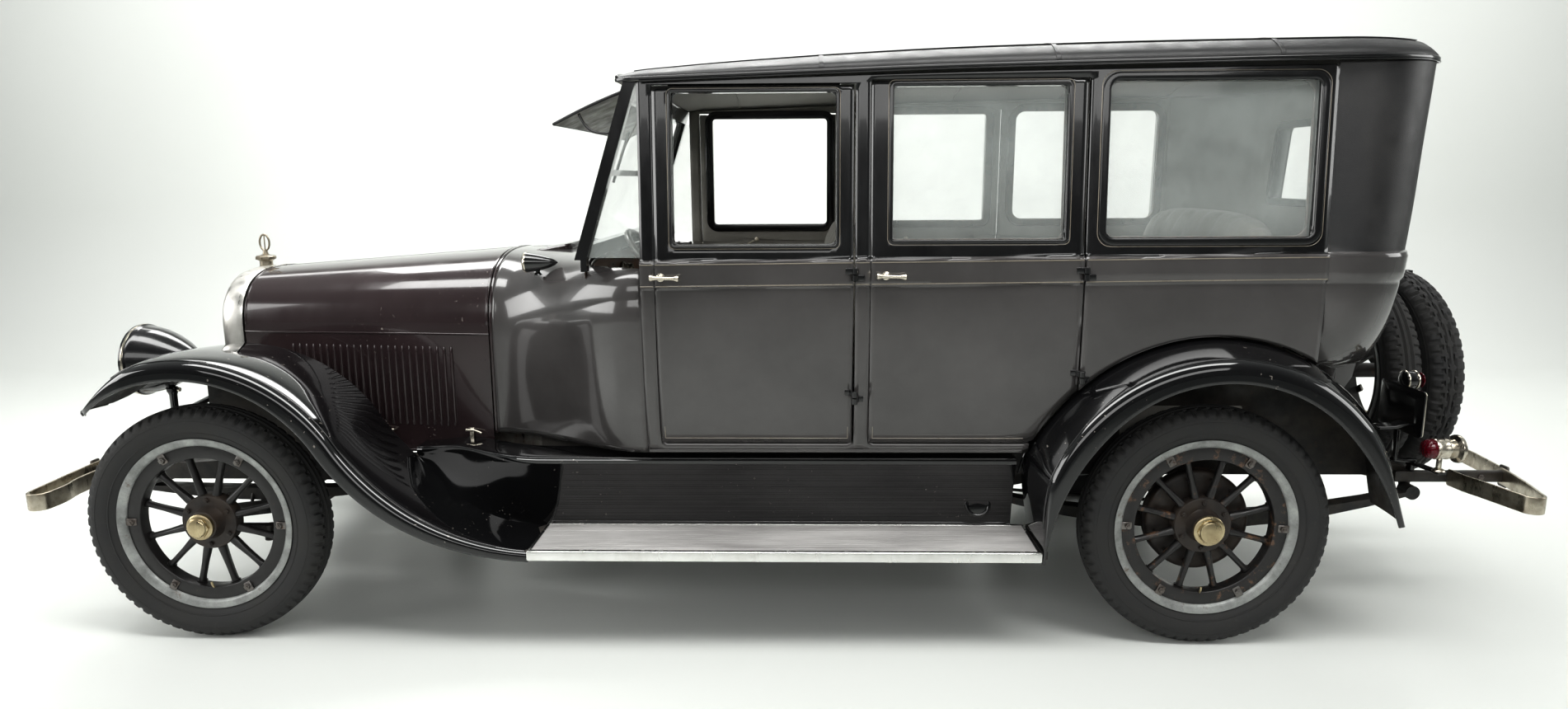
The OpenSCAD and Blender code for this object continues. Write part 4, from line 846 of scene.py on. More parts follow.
class SEDAN_OT_doors(bpy.types.Operator):
    """Four doors: curved skins with window openings, painted lines, hinges, handles and inside trim"""

    bl_idname = "sedan.doors"
    bl_label = "Doors"

    def execute(self, context):
        for place, x1, hinge, window, top, heights in (
            ("front", DOOR_X, FRONT_HINGE_X, FRONT_WINDOW, FRONT_DOOR_TOP, (865, 1283)),
            ("rear", REAR_DOOR_X, REAR_HINGE_X, REAR_WINDOW, REAR_DOOR_TOP, (935, 1283)),
        ):
            for word, side in (("left", 1), ("right", -1)):
                self.door(f"door_{place}_{word}", side, x1 - 2, hinge + DOOR_GAP, hinge, window, top, heights)
        return {"FINISHED"}

    def door(self, name, side, x1, x0, hinge, window, top, heights):
        """One door: its skin is a panel with the window's faces left out, given a wall inwards."""
        rear = hinge == REAR_HINGE_X
        shape = Shape(side)
        x = lines(x0, window[1], window[0], x1)
        z = lines(DOOR_Z, *BELT_STOPS, window[2], window[3], top, step=40)
        low = (lambda gx: np.maximum(DOOR_Z, arch_low(gx, DOOR_ARCH_R))) if rear else (lambda gx: DOOR_Z
            + 0 * gx)
        p = panel(x, z, low)
        shape.grid(p, paint_split(x, z), keep=~inside(x, z, *window), flip=True)
        skin = shape.make(name + "_skin", name, "body_paint", body_materials(), name, recalc=False)
        walled(skin, WALL, inner=2)

        trim = Shape(side)
        knuckles(trim, hinge, heights, True, 1)
        window_frame(trim, window, 1, 2, 14 if rear else 9)
        belt_stripes(trim, x1 - 3, x0 + 3, 2)
        inset = 14
        start = -1120 if rear else x0 + inset
        stripe(trim, x1 - inset, start, lambda gx: DOOR_Z + 16 + 0 * gx, 2, width=2.4)
        for at in (x1 - inset,) if rear else (x1 - inset, x0 + inset):
            upright_stripe(trim, at, DOOR_Z + 16, DOOR_Z + 60, 2)
        dog_bone(trim, x1 - (50 if rear else 20), 1279 if rear else 1275, 3)
        garnish_frame(trim, window, 34, 36, 6, 4 if rear else 1)
        self.inside_trim(trim, x0, x1)
        trim.make(name + "_trim", name, "nickel", "paint black stripe nickel garnish trim ivory")

    def inside_trim(self, trim, x0, x1):
        """A quilted pocket, a window winder, a lever and a pull on the door's inner face."""
        xm = (x0 + x1) / 2
        xs, zs = net(linspace(xm - 190, xm + 190, 30), linspace(800, 1010, 16))
        u, v = (xs - xm) / 190, (zs - 905) / 105
        swell = 22 * np.sqrt(clip(1 - np.abs(u) ** 6, 0, 1)) * np.sqrt(clip(1 - np.abs(v) ** 6, 0, 1))
        trim.grid(points(xs, side_y(0, zs) - WALL + 2 - swell, zs), 5)
        hub = array([x1 - 190, side_y(0, 1250) - WALL, 1262])
        trim.turned([[6, 0], [6, 26], [-4, 24], [-8, 14], [-22, 9], [-24, 0]], hub, Y_AXIS, 24, 3)
        trim.bar([hub + [0, -20, 0], hub + [-34, -24, 26], hub + [-74, -26, 46]], 7, 16, 3, 3, up=(0, 1, 0))
        trim.turned([[0, 0], [0, 9], [-12, 12], [-26, 9], [-34, 0]], hub + [-76, -26, 47], Y_AXIS, 18, 6)
        lever = array([x1 - 70, side_y(0, 1200) - WALL, 1190])
        trim.turned([[6, 0], [6, 20], [-4, 18], [-10, 8], [-20, 7], [-21, 0]], lever, Y_AXIS, 20, 3)
        trim.bar([lever + [0, -18, 0], lever + [-40, -22, -4], lever + [-84, -20, -2]], 8, 14, 3, 3,
            up=(0, 1, 0))


class SEDAN_OT_rear_body(bpy.types.Operator):
    """The round-cornered back of the body, with its window"""

    bl_idname = "sedan.rear_body"
    bl_label = "Rear body"

    def execute(self, context):
        z = lines(SILL_Z, *BELT_STOPS, BACK_WINDOW[1], BACK_WINDOW[2], 1985, step=36)
        turn = radians(linspace(0, 90, 15))
        back_x = curve(
            [648, 735, 830, 915, 1020, 1130, 1234, 1326, 1500, 1700, 1905, 1990],
            [-2165, -2225, -2280, -2325, -2362, -2392, -2410, -2420, -2440, -2456, -2474, -2480], z,
        ) - 4 * (smooth((z - 1245) / 7) - smooth((z - 1333) / 7))
        y = side_y(-2250, z)
        reach = np.minimum(CORNER_R, REAR_X - back_x)
        corner = points(
            (back_x + reach)[:, None] - reach[:, None] * sin(turn), (y - CORNER_R)[:,
                None] + CORNER_R * cos(turn), z[:, None]
        )
        start = points(REAR_X + 0 * z, y, z)[:, None]
        share = array([0.6, BACK_WINDOW[0] / 560, 0.3, 0.0])
        flat = points(back_x[:, None], (y - CORNER_R)[:, None] * share / share.max() * 0.6 + 0 * z[:,
            None], z[:, None])
        flat[:, 1, 1] = BACK_WINDOW[0]
        half = concatenate([start, corner, flat], 1)
        half[:, len(turn) + 1, 1] = 440
        p = concatenate([half, half[:, -2::-1] * [1, -1, 1]], 1)
        low = np.where(np.abs(p[..., 1]) > 560, arch_low(p[..., 0], ARCH_R), SILL_Z)
        high = drip_z(p[..., 0])
        rise = (p[..., 2] - SILL_Z) / (1200 - SILL_Z)
        p[..., 2] = np.where(p[..., 2] < 1200, low + rise * (1200 - low), np.minimum(p[..., 2], high))
        cy = (p[0, 1:, 1] + p[0, :-1, 1]) / 2
        cz = cells(z)
        column = arange(len(cy))[None]
        across = (np.abs(cy)[None] < BACK_WINDOW[0]) & (column > len(turn)) & (column < len(cy) - len(turn))
        keep = ~(across & (cz[:, None] > BACK_WINDOW[1]) & (cz[:, None] < BACK_WINDOW[2]))
        shape = Shape()
        mats = np.where(cz[:, None] > 1330 + 22, 1, 0) + 0 * cy[None].astype(int)
        shape.grid(p, mats, keep=keep, flip=True)
        skin = shape.make("body_back", "chassis", "leatherette", "paint grain trim trim", "body_rear",
            recalc=False)
        walled(skin, WALL, inner=2)

        trim = Shape()
        ring = round_rect(2 * BACK_WINDOW[0] + 24, BACK_WINDOW[2] - BACK_WINDOW[1] + 24, 30, 6)
        zc = (BACK_WINDOW[1] + BACK_WINDOW[2]) / 2
        for depth, size in ((-3, 24), (WALL + 4, 30)):
            zz = ring[:, 1] + zc
            xx = np.interp(zz, z, back_x) + depth
            trim.band(points(xx, ring[:, 0], zz), X_AXIS, round_rect(size, 10, 4, 3))
        trim.make("back_window_frame", "chassis", "black_paint", "black")
        return {"FINISHED"}


class SEDAN_OT_roof(bpy.types.Operator):
    """The fabric roof with its drip moulding, seams, cloth headlining and sun visor"""

    bl_idname = "sedan.roof"
    bl_label = "Roof and visor"

    RISE_X = [-2485, -2445, -2403, -2098, -1512, -974, -486, -157, 63, 200, 252]
    RISE = [4, 44, 76, 88, 89, 85, 75, 62, 48, 36, 22]

    def plan(self, x):
        """Half the roof's width: a straight edge, drawn in at the front and round the rear corners."""
        t = clip((-2150 - x) / (-2150 - ROOF_END_X), 0, 1)
        rear = ROOF_EDGE_Y - CORNER_R + CORNER_R * np.sqrt(1 - t * t)
        front = ROOF_EDGE_Y - 40 * smooth((x - POST_X + 40) / 140) ** 2
        return np.where(x < REAR_X, rear, front)

    def surface(self, x, a, top):
        """The roof, over or under: edge to edge with the angle a, its height a share of the crown."""
        share = curve([0, 15, 30, 45, 60, 75, 90], [1, 0.985, 0.94, 0.87, 0.72, 0.35, 0], np.abs(a))
        hollow = curve([0, 15, 30, 45, 60, 75, 90], [50, 48, 42, 30, 10, 0, 0], np.abs(a))
        lift = curve(self.RISE_X, self.RISE, x)
        c = smooth((180 - x) / 100) * smooth((x + 2400) / 100)
        z = drip_z(x) + (14 + lift * share if top else 0.3 + hollow * c)
        return points(x, -self.plan(x) * sin(radians(a)), z)

    def execute(self, context):
        x = concatenate([linspace(ROOF_FRONT_X, -2150, 90),
            -2150 + (ROOF_END_X + 2150) * sin(radians(linspace(4, 90, 22)))])
        a = linspace(-90, 90, 61)
        gx, ga = net(x, a)
        over, under = self.surface(gx, ga, True), self.surface(gx, ga, False)
        shape = Shape()
        shape.sheet(over, under)
        shape.make("roof_cover", "chassis", "leatherette", "grain headlining", "roof", sharp=50)

        trim = Shape()
        edge = self.surface(x, np.full_like(x, 90.0), True)
        line = concatenate([edge, (edge * [1, -1, 1])[::-1]])
        line[:, 2] -= 8
        line[:, 1] += np.sign(line[:, 1]) * 1.5
        trim.bar(line, 9, 13, 4, 0, n=3)
        gutter = line.copy()
        gutter[:, 2] -= 9
        gutter[:, 1] += np.sign(gutter[:, 1]) * 4
        trim.bar(gutter[3:-3], 8, 5, 2, 0, n=2)
        front = self.surface(np.full_like(a, ROOF_FRONT_X - 2), a, True)
        trim.rod(front + [0, 0, 1], 5, 0)
        for at in (-420, -1180, -1890):
            seam = self.surface(np.full_like(a, at), a, True)
            trim.bar(seam + [0, 0, 1], 16, 3, 1.2, 1, up=(0, 0, 1))
        for angle in (-62, 62):
            xs = linspace(200, -2380, 90)
            trim.bar(self.surface(xs, np.full_like(xs, angle), True) + [0, 0, 1], 14, 3, 1.2, 1)
        trim.make("roof_mouldings", "chassis", "black_paint", "black grain")
        self.visor()
        return {"FINISHED"}

    def visor(self):
        """A drooping peak: a thin leatherette board, hollow across, bound at its edge, on two irons."""
        shape = Shape()
        t, s = net(linspace(0, 1, 24), linspace(-1, 1, 41))
        x = 238 + 248 * t
        z = 1897 - 106 * t + 5 * sin(pi * t) - 3 * s * s * t
        y = s * (640 - 6 * t)
        top, low = points(x, y, z), points(x - 2, y, z - 8)
        shape.sheet(top, low)
        rim = concatenate([top[:, 0], top[-1, 1:-1], top[::-1, -1]]) - [1, 0, 4]
        shape.rod(rim, 5.5, 0)
        for side in (1, -1):
            u = linspace(0, 1, 24)
            bow = points(258 + 150 * u + 26 * sin(pi * u), side * 612,
                1760 + 60 * u - 34 * sin(pi * u) + 10 * u)
            shape.rod(bow, 5, 2)
            shape.turned([[-5, 0], [-5, 13], [0, 13], [4, 8], [4, 0]], bow[0], X_AXIS, 16, 2)
        shape.make("visor", "chassis", "black_paint", "grain visor_lining black", "sun_visor", sharp=50)


def hood_width(x):
    """Half the hood's width, a straight taper from the scuttle to the radiator."""
    return 300 + 125 * (RADIATOR_X - x) / (RADIATOR_X - COWL_X)


def seam_z(x):
    """The height of the seam between the hood's top and side."""
    return 1020 + 6 * (RADIATOR_X - x) / (RADIATOR_X - COWL_X)


def crest_z(x):
    """The height of the hood's middle line."""
    return 1250 + 76 * (RADIATOR_X - x) / (RADIATOR_X - COWL_X)


def hood_arch(x, a, inset=0.0):
    """A point of the hood's arch: width times a power of the cosine, height times a power of the sine."""
    w, s = hood_width(x) - inset, seam_z(x)
    h = crest_z(x) - inset - s
    a = radians(a)
    return points(x, w * np.maximum(cos(a), 0) ** 0.72, s + h * np.maximum(sin(a), 0) ** 0.8)


def louvre_rows(x, z0, z1, foot, half=9.0, rise=9.0):
    """A pressed louvre: a ridge whose rise across is a sine, faded at both ends by the root of a sine."""
    t = linspace(0, 1, 26)[:, None]
    a = linspace(0, 1, 11)[None]
    swell = np.sqrt(clip(sin(pi * clip(t, 0.001, 0.999)), 0, 1)) ** 0.5
    shape_x = x + half * (0.9 - 1.8 * a) * (0.35 + 0.65 * swell)
    bulge = rise * swell * sin(pi * a ** 1.5) ** 0.8
    z = z0 + (z1 - z0) * t + 0 * a
    return points(shape_x + 0 * t, foot(shape_x + 0 * t) + bulge, z)


class SEDAN_OT_hood(bpy.types.Operator):
    """The folding hood with its louvres, beads, handles and latches, and the scuttle behind it"""

    bl_idname = "sedan.hood"
    bl_label = "Hood and scuttle"

    FRONT_X, REAR_X = RADIATOR_X - 4, COWL_X + 8

    def execute(self, context):
        for word, side in (("left", 1), ("right", -1)):
            self.top("hood_top_" + word, "hood_" + word, side)
            self.flank("hood_side_" + word, side, context.scene.sedan_body.louvres)
        self.scuttle()
        return {"FINISHED"}

    def top(self, name, body, side):
        """One leaf of the hood's top."""
        x, a = net(linspace(self.FRONT_X, self.REAR_X, 40), linspace(0, 90, 34))
        p = hood_arch(x, a)
        p[:, 0, 2] += 4.5
        p[..., 1] = np.maximum(p[..., 1], 10)
        inner = hood_arch(x, a, 4)
        inner[:, 0, 2] += 4.5
        inner[..., 1] = np.maximum(inner[..., 1], 10)
        shape = Shape(side)
        shape.sheet(p, inner)
        for at in (self.FRONT_X - 5, self.REAR_X + 5):
            line = hood_arch(np.full(30, float(at)), linspace(4, 88, 30))
            shape.bar(line + [0, 0, 0.5], 8, 3.4, 1.5, 0, up=line - [at, 0, 900])
        xs = linspace(self.FRONT_X, self.REAR_X, 12)
        shape.rod(points(xs, 9.4 + 0 * xs, crest_z(xs) - 5.5), 4, 0)
        shape.make(name + "_leaf", body, "body_paint", "hood_paint black", name)

    def flank(self, name, side, count):
        """One side of the hood with its pressed louvres, handle and hold-down latch."""
        shape = Shape(side)
        x, t = net(linspace(self.FRONT_X, self.REAR_X, 40), linspace(0, 1, 14))
        z = 560 + (seam_z(x) - 560) * t
        outer = points(x, hood_width(x), z)
        inner = points(x, hood_width(x) - 4, z)
        shape.sheet(outer, inner, 2)
        for at in linspace(1625, 976, count):
            shape.grid(louvre_rows(at, 668, 976, lambda gx: hood_width(gx) + 0.2), 0, flip=True)
        xs = linspace(self.FRONT_X, self.REAR_X, 14)
        shape.rod(points(xs, hood_width(xs) - 1.5, seam_z(xs)), 4, 0)
        shape.bar(points(xs, hood_width(xs) + 1, 566 + 0 * xs), 5, 9, 2, 0)
        at, y = 1275, hood_width(1275)
        grip = [(at - 52, y, 646), (at - 50, y + 22, 648), (at + 50, y + 22, 652), (at + 52, y, 654)]
        shape.rod(grip, 4.6, 1, up=(0, 0.2, 1))
        for end in (-52, 52):
            shape.turned([[0, 0], [0, 12], [3, 11], [6, 0]], (at + end, y, 650 + end * 0.08), Y_AXIS, 18, 1)
        y = hood_width(909)
        shape.bar([(909, y + 3, 662), (909, y + 8, 640), (911, y + 7, 604)], 16, 6, 2, 1, up=(0, 1, 0))
        shape.rod([(911, y + 7, 606), (911, y + 12, 588), (911, y + 6, 566)], 5, 1, up=(1, 0, 0))
        shape.bar([(932, y + 7, 656), (896, y + 12, 654), (868, y + 20, 646)], 8, 9, 3, 1)
        shape.make(name + "_panel", name, "body_paint", "hood_paint nickel black", name, merge=0.01)

    def scuttle(self):
        """The scuttle: the hood's arch blended smoothly into the body's side and belt, with its vent."""
        x, i = net(linspace(COWL_X, POST_X + 1, 34), concatenate([linspace(0, 3, 16)[:-1],
            linspace(3, 12, 40)]))
        t = smooth((COWL_X - x) / (COWL_X - POST_X))
        b = clip(10 * (i - 3), 0, 90)
        arch = hood_arch(COWL_X + 0 * x, b)
        low = i < 3
        z1 = np.where(low, curve([0, 1, 2, 3], [SILL_Z, 760, 900, seam_z(COWL_X)], i), arch[..., 2])
        y1 = np.where(low, hood_width(COWL_X), arch[..., 1])
        sine, cosine = sin(radians(b)), np.maximum(cos(radians(b)), 0)
        z2 = np.where(low, curve([0, 1, 2, 3], [SILL_Z, 760, 900, 1180], i), 1180 + 146 * sine ** 0.7)
        y2 = np.where(low | (b <= 0), side_y(POST_X, np.minimum(z2, 1180)), 755 * cosine ** 0.18)
        p = points(x, np.maximum(0, y1 + (y2 - y1) * t), z1 + (z2 - z1) * t)
        cx = (x[1:, 1:] + x[:-1, :-1]) / 2
        cz = (p[1:, 1:, 2] + p[:-1, :-1, 2]) / 2
        hidden = (cx < 395) & (cz > 1300)
        shape = Shape()
        shape.grid(p, 0, keep=~hidden, flip=False)
        shape.mirrored()
        skin = shape.make("scuttle", "chassis", "body_paint", "paint trim black", "cowl", recalc=False)
        walled(skin, 18, inner=1, rim=0)

        trim = Shape()
        line = hood_arch(np.full(50, COWL_X - 2.0), linspace(0, 90, 50))
        foot = points(COWL_X - 2, hood_width(COWL_X), linspace(SILL_Z, seam_z(COWL_X), 24)[:-1])
        bead = concatenate([foot, line])
        trim.bar(bead, 9, 5, 2, 0, up=bead - [COWL_X, 0, 850])
        trim.mirrored()
        box = round_rect(150, 330, 26, 5)
        rows = []
        for scale, lift in ((1.0, 0), (1.0, 14), (0.97, 20), (0.9, 22), (0.0, 24)):
            px, py = 638 + box[:, 0] * scale, box[:, 1] * scale
            base = 1318 - 0.028 * (px - 560)
            rows.append(points(px, py, base + lift + 0.16 * (638 - px) * (lift > 0)))
        trim.grid(stack(rows), 0, wrap_v=True)
        trim.make("scuttle_trim", "chassis", "body_paint", "hood_paint black nickel")


# ---------------------------------------------------------------- running gear

FENDER_Y, EDGE_R, ARC_END, TIP_ANGLE = 890.0, 532.0, 148.0, 49.0
BOARD_TOP_Z, BOARD_LOW_Z, BOARD_IN_Y = 361.0, 325.0, 622.0
BOARD_FRONT_X, BOARD_REAR_X = 573.5, -1153.5


class WheelSettings(bpy.types.PropertyGroup):
    """Sizes of the wheels and tyres."""

    spokes: IntProperty(name="Spokes", description="Wooden spokes in each wheel", default=12, min=10, max=14)
    blocks: IntProperty(name="Tread blocks", description="Blocks round each tyre's shoulder", default=66,
        min=40, max=90)
    groove: FloatProperty(name="Groove depth", description="Depth of the tread", default=0.007, min=0.003,
        max=0.012, unit="LENGTH")


BLOCK_STEPS = 6  # points round the tyre for one tread block


def tyre_surface(blocks, groove, zigzag):
    """A tyre as a radius over angle and place across: a round case, less the groove's depth between blocks.
    Shoulder blocks are a square wave round the tyre, and centre ribs swing to and fro as a triangle wave."""
    across = array([
        [-39.7, 295.2], [-40.5, 303], [-44, 312], [-50, 322], [-56.5, 335], [-61.5, 352], [-63.3,
            368], [-63, 378], [-61.5, 386],
        [-60.6, 388], [-59.2, 393], [-57, 398.5], [-53.5, 403.5], [-49, 408], [-44, 411.5], [-40,
            413.8], [-39, 414.3], [-32, 416.6],
        [-25, 418], [-24, 418.2], [-19, 418.6], [-11, 419], [-10, 419], [-4, 419],
    ])
    profile = concatenate([across, across[::-1] * [-1, 1]])
    steps = blocks * BLOCK_STEPS
    k = arange(steps)
    part = (k % BLOCK_STEPS) / BLOCK_STEPS
    s, r = profile[None, :, 0], profile[None, :, 1]
    swing = np.abs(((k / BLOCK_STEPS / 2) % 1) - 0.5) * 4 - 1
    shoulder = (np.abs(s) > 38) & (np.abs(s) < 61)
    offset = np.where(s > 0, BLOCK_STEPS // 2, 0)
    phase = ((k[:, None] + offset) % BLOCK_STEPS) / BLOCK_STEPS
    block = (phase < 0.6) | (np.abs(s) <= 38)
    rib_place = np.abs(s) + swing[:, None] * (2.4 if zigzag else 0.0)
    rib = ((rib_place > 9) & (rib_place < 12.5)) | ((np.abs(s) > 24.2) & (np.abs(s) < 38.9)
        & (part[:, None] > (0.55 if zigzag else 0.7)))
    slot = np.where(shoulder, ~block, rib & (np.abs(s) < 39))
    slot = slot & (r > 387)
    fade = clip((r - 386) / 14, 0.35, 1)
    radius = r - slot * groove * fade
    return k / steps * 2 * pi, s + 0 * radius, radius


def add_tyre(shape, centre, axis, blocks, groove, zigzag=False, mat=0):
    """Turns a tyre surface about an axis through its centre, with two raised rings on each side wall."""
    a, s, r = tyre_surface(blocks, groove, zigzag)
    axis = unit(axis)
    e1 = unit(np.cross(axis, Z_AXIS))
    e2 = np.cross(axis, e1)
    spoke = cos(a)[:, None, None] * e1 + sin(a)[:, None, None] * e2
    shape.grid(np.asarray(centre, float) + s[..., None] * axis + r[..., None] * spoke, mat, wrap_u=True,
        wrap_v=True)
    for sgn in (-1, 1):
        for radius, depth, size in ((333, 56.0, 1.6), (374, 63.2, 1.1)):
            shape.hoop(circle(size, 6) * [1, 1.6] + [sgn * depth, radius], centre, axis, 96, mat)
    return shape


class SEDAN_OT_wheels(bpy.types.Operator):
    """Four road wheels: ribbed tyres, steel rims, wooden felloes and spokes, hubs, lugs and caps"""

    bl_idname = "sedan.wheels"
    bl_label = "Wheels and tyres"

    def execute(self, context):
        look = context.scene.sedan_wheels
        for end in ("front", "rear"):
            for word, side in (("left", 1), ("right", -1)):
                where = f"{end}_{word}"
                body = "wheel_" + where
                x = AXLE_X if end == "front" else -AXLE_X
                tyre = add_tyre(Shape(), (x, side * HUB_Y, HUB_Z), Y_AXIS, look.blocks, look.groove * 1000)
                tyre.make("road_tyre_" + where, body, "tyre", "rubber", "tyre_" + where, sharp=30)
                self.wheel(where, body, x, side, end == "rear", look.spokes)
        return {"FINISHED"}

    def wheel(self, where, body, x, side, rear, count):
        """One wheel. Spokes are swept ovals, wide at the hub and at the felloe and waisted between."""
        hub = array([x, HUB_Y, HUB_Z])
        spoke_mat = 1
        shape = Shape(side)
        outer = [
            [-38, 294.6], [38, 294.6], [40.5, 297], [43, 303], [44, 308], [45.6, 309.6], [47, 309], [47.4,
                306.5], [46.6, 302],
            [45, 297.5], [43.5, 291], [41, 285], [36, 281], [30, 279.5], [27, 275], [26, 269], [23, 266.5],
        ]
        loop = array(outer + [[-a, r] for a, r in outer[::-1]])
        shape.hoop(loop, hub, Y_AXIS, 96, 0)
        ring = [[30.5, 283], [34, 284], [38, 287.5], [39.5, 291], [37, 293], [33, 291], [30, 287]]
        shape.hoop(ring, hub, Y_AXIS, 96, 0)
        felloe = round_rect(49, 48, 5, 3) + [8, 259.5]
        shape.hoop(felloe, hub, Y_AXIS, 96, spoke_mat)
        for k in range(count):
            a = (k + 0.5) * 2 * pi / count
            out = array([cos(a), 0, sin(a)])
            t = linspace(0, 1, 22)
            radius = 72 + (238 - 72) * t
            path = hub + radius[:, None] * out + np.outer(-2 + 0 * t, Y_AXIS)
            wide = 14.5 - 4.2 * smooth((t - 0.1) / 0.5) + 3.0 * smooth((t - 0.86) / 0.14)
            deep = 17 - 3.0 * smooth((t - 0.2) / 0.6)
            section = circle(1, 16)
            rows = path[:, None] + (section[None, :, :1] * deep[:, None, None]) * Y_AXIS + (section[None,
                :, 1:] * wide[:, None, None]) * np.cross(out, Y_AXIS)
            shape.grid(rows, spoke_mat, wrap_v=True)
            foot = hub + 236 * out - 2 * Y_AXIS
            shape.turned([[0, 0], [0, 17], [5, 15.5], [6, 0]], foot - 5 * out, out, 18, spoke_mat)
        for out in around(6, 0.02):
            at = hub + 264 * out + 33 * Y_AXIS
            shape.bar([at - 14 * out, at + 2 * out + 3 * Y_AXIS, at + 20 * out + 2 * Y_AXIS], 26, 6, 2.5,
                2, up=Y_AXIS)
            shape.bolt(at - 2 * out + 2 * Y_AXIS, Y_AXIS, 11, 16, 2)
        hub_profile = [
            [-26, 0], [-26, 92], [-24, 98], [14, 98], [18, 95], [19, 60], [24, 57], [46, 52], [58,
                50.5], [60, 47], [60, 0],
        ]
        shape.turned(hub_profile, hub, Y_AXIS, 72, 3)
        for out in around(count // 2, 2 * pi / count):
            shape.bolt(hub + 80 * out + 18 * Y_AXIS, Y_AXIS, 8.5, 11, 3)
        if rear:
            cap = [[58, 0], [58, 50], [63, 52], [72, 52], [75, 48], [76, 40], [84, 38.5], [90, 36],
                [92, 32], [92.5, 0]]
        else:
            cap = [[58, 0], [58, 45], [64, 46.5], [72, 46], [75, 42], [76, 34], [86, 32], [91, 29],
                [92.5, 24], [92.6, 0]]
        shape.turned(cap, hub, Y_AXIS, 48, 4)
        grip = [[74, 0], [74, 43 if rear else 38], [84, 43 if rear else 38], [86, 40 if rear else 35],
            [86, 0]]
        shape.grid(ring_rows(grip, hub, Y_AXIS, 6), 4, wrap_u=True)
        shape.rod([hub + [0, 22, -262 + 14], hub + [0, 36, -262 + 34], hub + [0, 40, -262 + 48]][::-1], 4,
            4, up=Y_AXIS)
        if rear:
            drum = [[-84, 158], [-84, 176], [-80, 178], [-76, 178], [-74, 175.5], [-60, 175.5], [-58, 178],
                [-44, 178], [-38, 176], [-34, 170], [-32, 160], [-31, 60], [-36, 58], [-40, 160],
                [-80, 158]]
            shape.hoop(drum, hub, Y_AXIS, 96, 3)
            for out in around(12, pi / 12):
                shape.bolt(hub + 150 * out - 32 * Y_AXIS, Y_AXIS, 7, 8, 3)
        spokes = "spoke_rear" if rear else "spoke_front"
        shape.make("wheel_parts_" + where, body, "wheel_paint", f"rim {spokes} steel hub brass",
            "wheel_" + where)


class SEDAN_OT_spares(bpy.types.Operator):
    """Two spare tyres, upright behind the body, in their rims, with a strap and clamps"""

    bl_idname = "sedan.spares"
    bl_label = "Spare tyres"

    def execute(self, context):
        look = context.scene.sedan_wheels
        low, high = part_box("spare_tyres")
        z = 500 * (low.z + high.z)
        width = 127.0
        front_x = 1000 * (high.x - MID_X) - width / 2
        back_x = 1000 * (low.x - MID_X) + width / 2
        shape = Shape()
        add_tyre(shape, (front_x, 0, z), X_AXIS, look.blocks + 6, look.groove * 900, False)
        shape.make("spare_tyre_front", "chassis", "tyre", "rubber", "spare_tyres", sharp=30)
        shape = Shape()
        add_tyre(shape, (back_x, 0, z), X_AXIS, look.blocks - 8, look.groove * 1100, True)
        shape.make("spare_tyre_rear", "chassis", "tyre", "rubber", "spare_tyres", sharp=30)
        rims = Shape()
        for x in (front_x, back_x):
            half = [[-38, 294.6], [38, 294.6], [43, 303], [45.6, 309.6], [47.2, 307], [45, 297.5],
                [41, 285], [34, 280], [22, 277]]
            rims.hoop(array(half + [[-a, r] for a, r in half[:0:-1]]), (x, 0, z), X_AXIS, 112, 0)
        for out in around(3, pi / 2):
            out = out[[1, 0, 2]]
            at = array([back_x - 40, 0, z]) + 262 * out
            rims.bar([at - 20 * out, at + 22 * out], 30, 8, 3, 1, up=X_AXIS)
            rims.bolt(at - X_AXIS * 2, -X_AXIS, 11, 16, 1)
        x0, x1, r = front_x + 66, back_x - 66, 421.0
        mid = (x0 + x1) / 2
        strap = points([x0, x0 + 2, mid, x1 - 2, x1], 0,
            [z + 380, z + r - 7, z + r + 0.4, z + r - 7, z + 380])
        t = linspace(0, 4, 33)
        path = points(*[np.interp(t, arange(5), strap[:, i]) for i in range(3)])
        rims.bar(path, 26, 3.5, 1.2, 2, up=path - [mid, 0, z])
        rims.make("spare_rims", "chassis", "chassis_paint", "rim steel grain")
        return {"FINISHED"}


def bezier(a, b, c, d, t):
    """A cubic curve between a and d, pulled towards b and c."""
    return (1 - t) ** 3 * a + 3 * (1 - t) ** 2 * t * b + 3 * (1 - t) * t * t * c + t ** 3 * d


def blend_value(a, b, t):
    """a where t is 0 and b where it is 1."""
    return a + (b - a) * t


def front_path(t):
    """The front fender's edge: a round arc over the tyre, then a long curve down to the running board."""
    arc = blend_value(TIP_ANGLE, ARC_END, t / 0.55)
    ax, az = AXLE_X + EDGE_R * cos(radians(arc)), HUB_Z + EDGE_R * sin(radians(arc))
    x0, z0 = AXLE_X + EDGE_R * cos(radians(ARC_END)), HUB_Z + EDGE_R * sin(radians(ARC_END))
    x1, z1 = 574.0, BOARD_LOW_Z
    u = clip((t - 0.55) / 0.45, 0, 1)
    bx = bezier(x0, x0 - 175, x1 + 250, x1, u)
    bz = bezier(z0, z0 - 280, z1 + 14, z1, u)
    v, w = clip(u - 0.01, 0, 1), clip(u + 0.01, 0, 1)
    dx = bezier(x0, x0 - 175, x1 + 250, x1, w) - bezier(x0, x0 - 175, x1 + 250, x1, v)
    dz = bezier(z0, z0 - 280, z1 + 14, z1, w) - bezier(z0, z0 - 280, z1 + 14, z1, v)
    turn = np.degrees(np.arctan2(dz, dx)) - 90
    turn = np.where(t > 0.999, 90, np.where(turn < 0, turn + 360, turn))
    on_arc = t < 0.55
    return np.where(on_arc, ax, bx), np.where(on_arc, az, bz), np.where(on_arc, arc, turn)


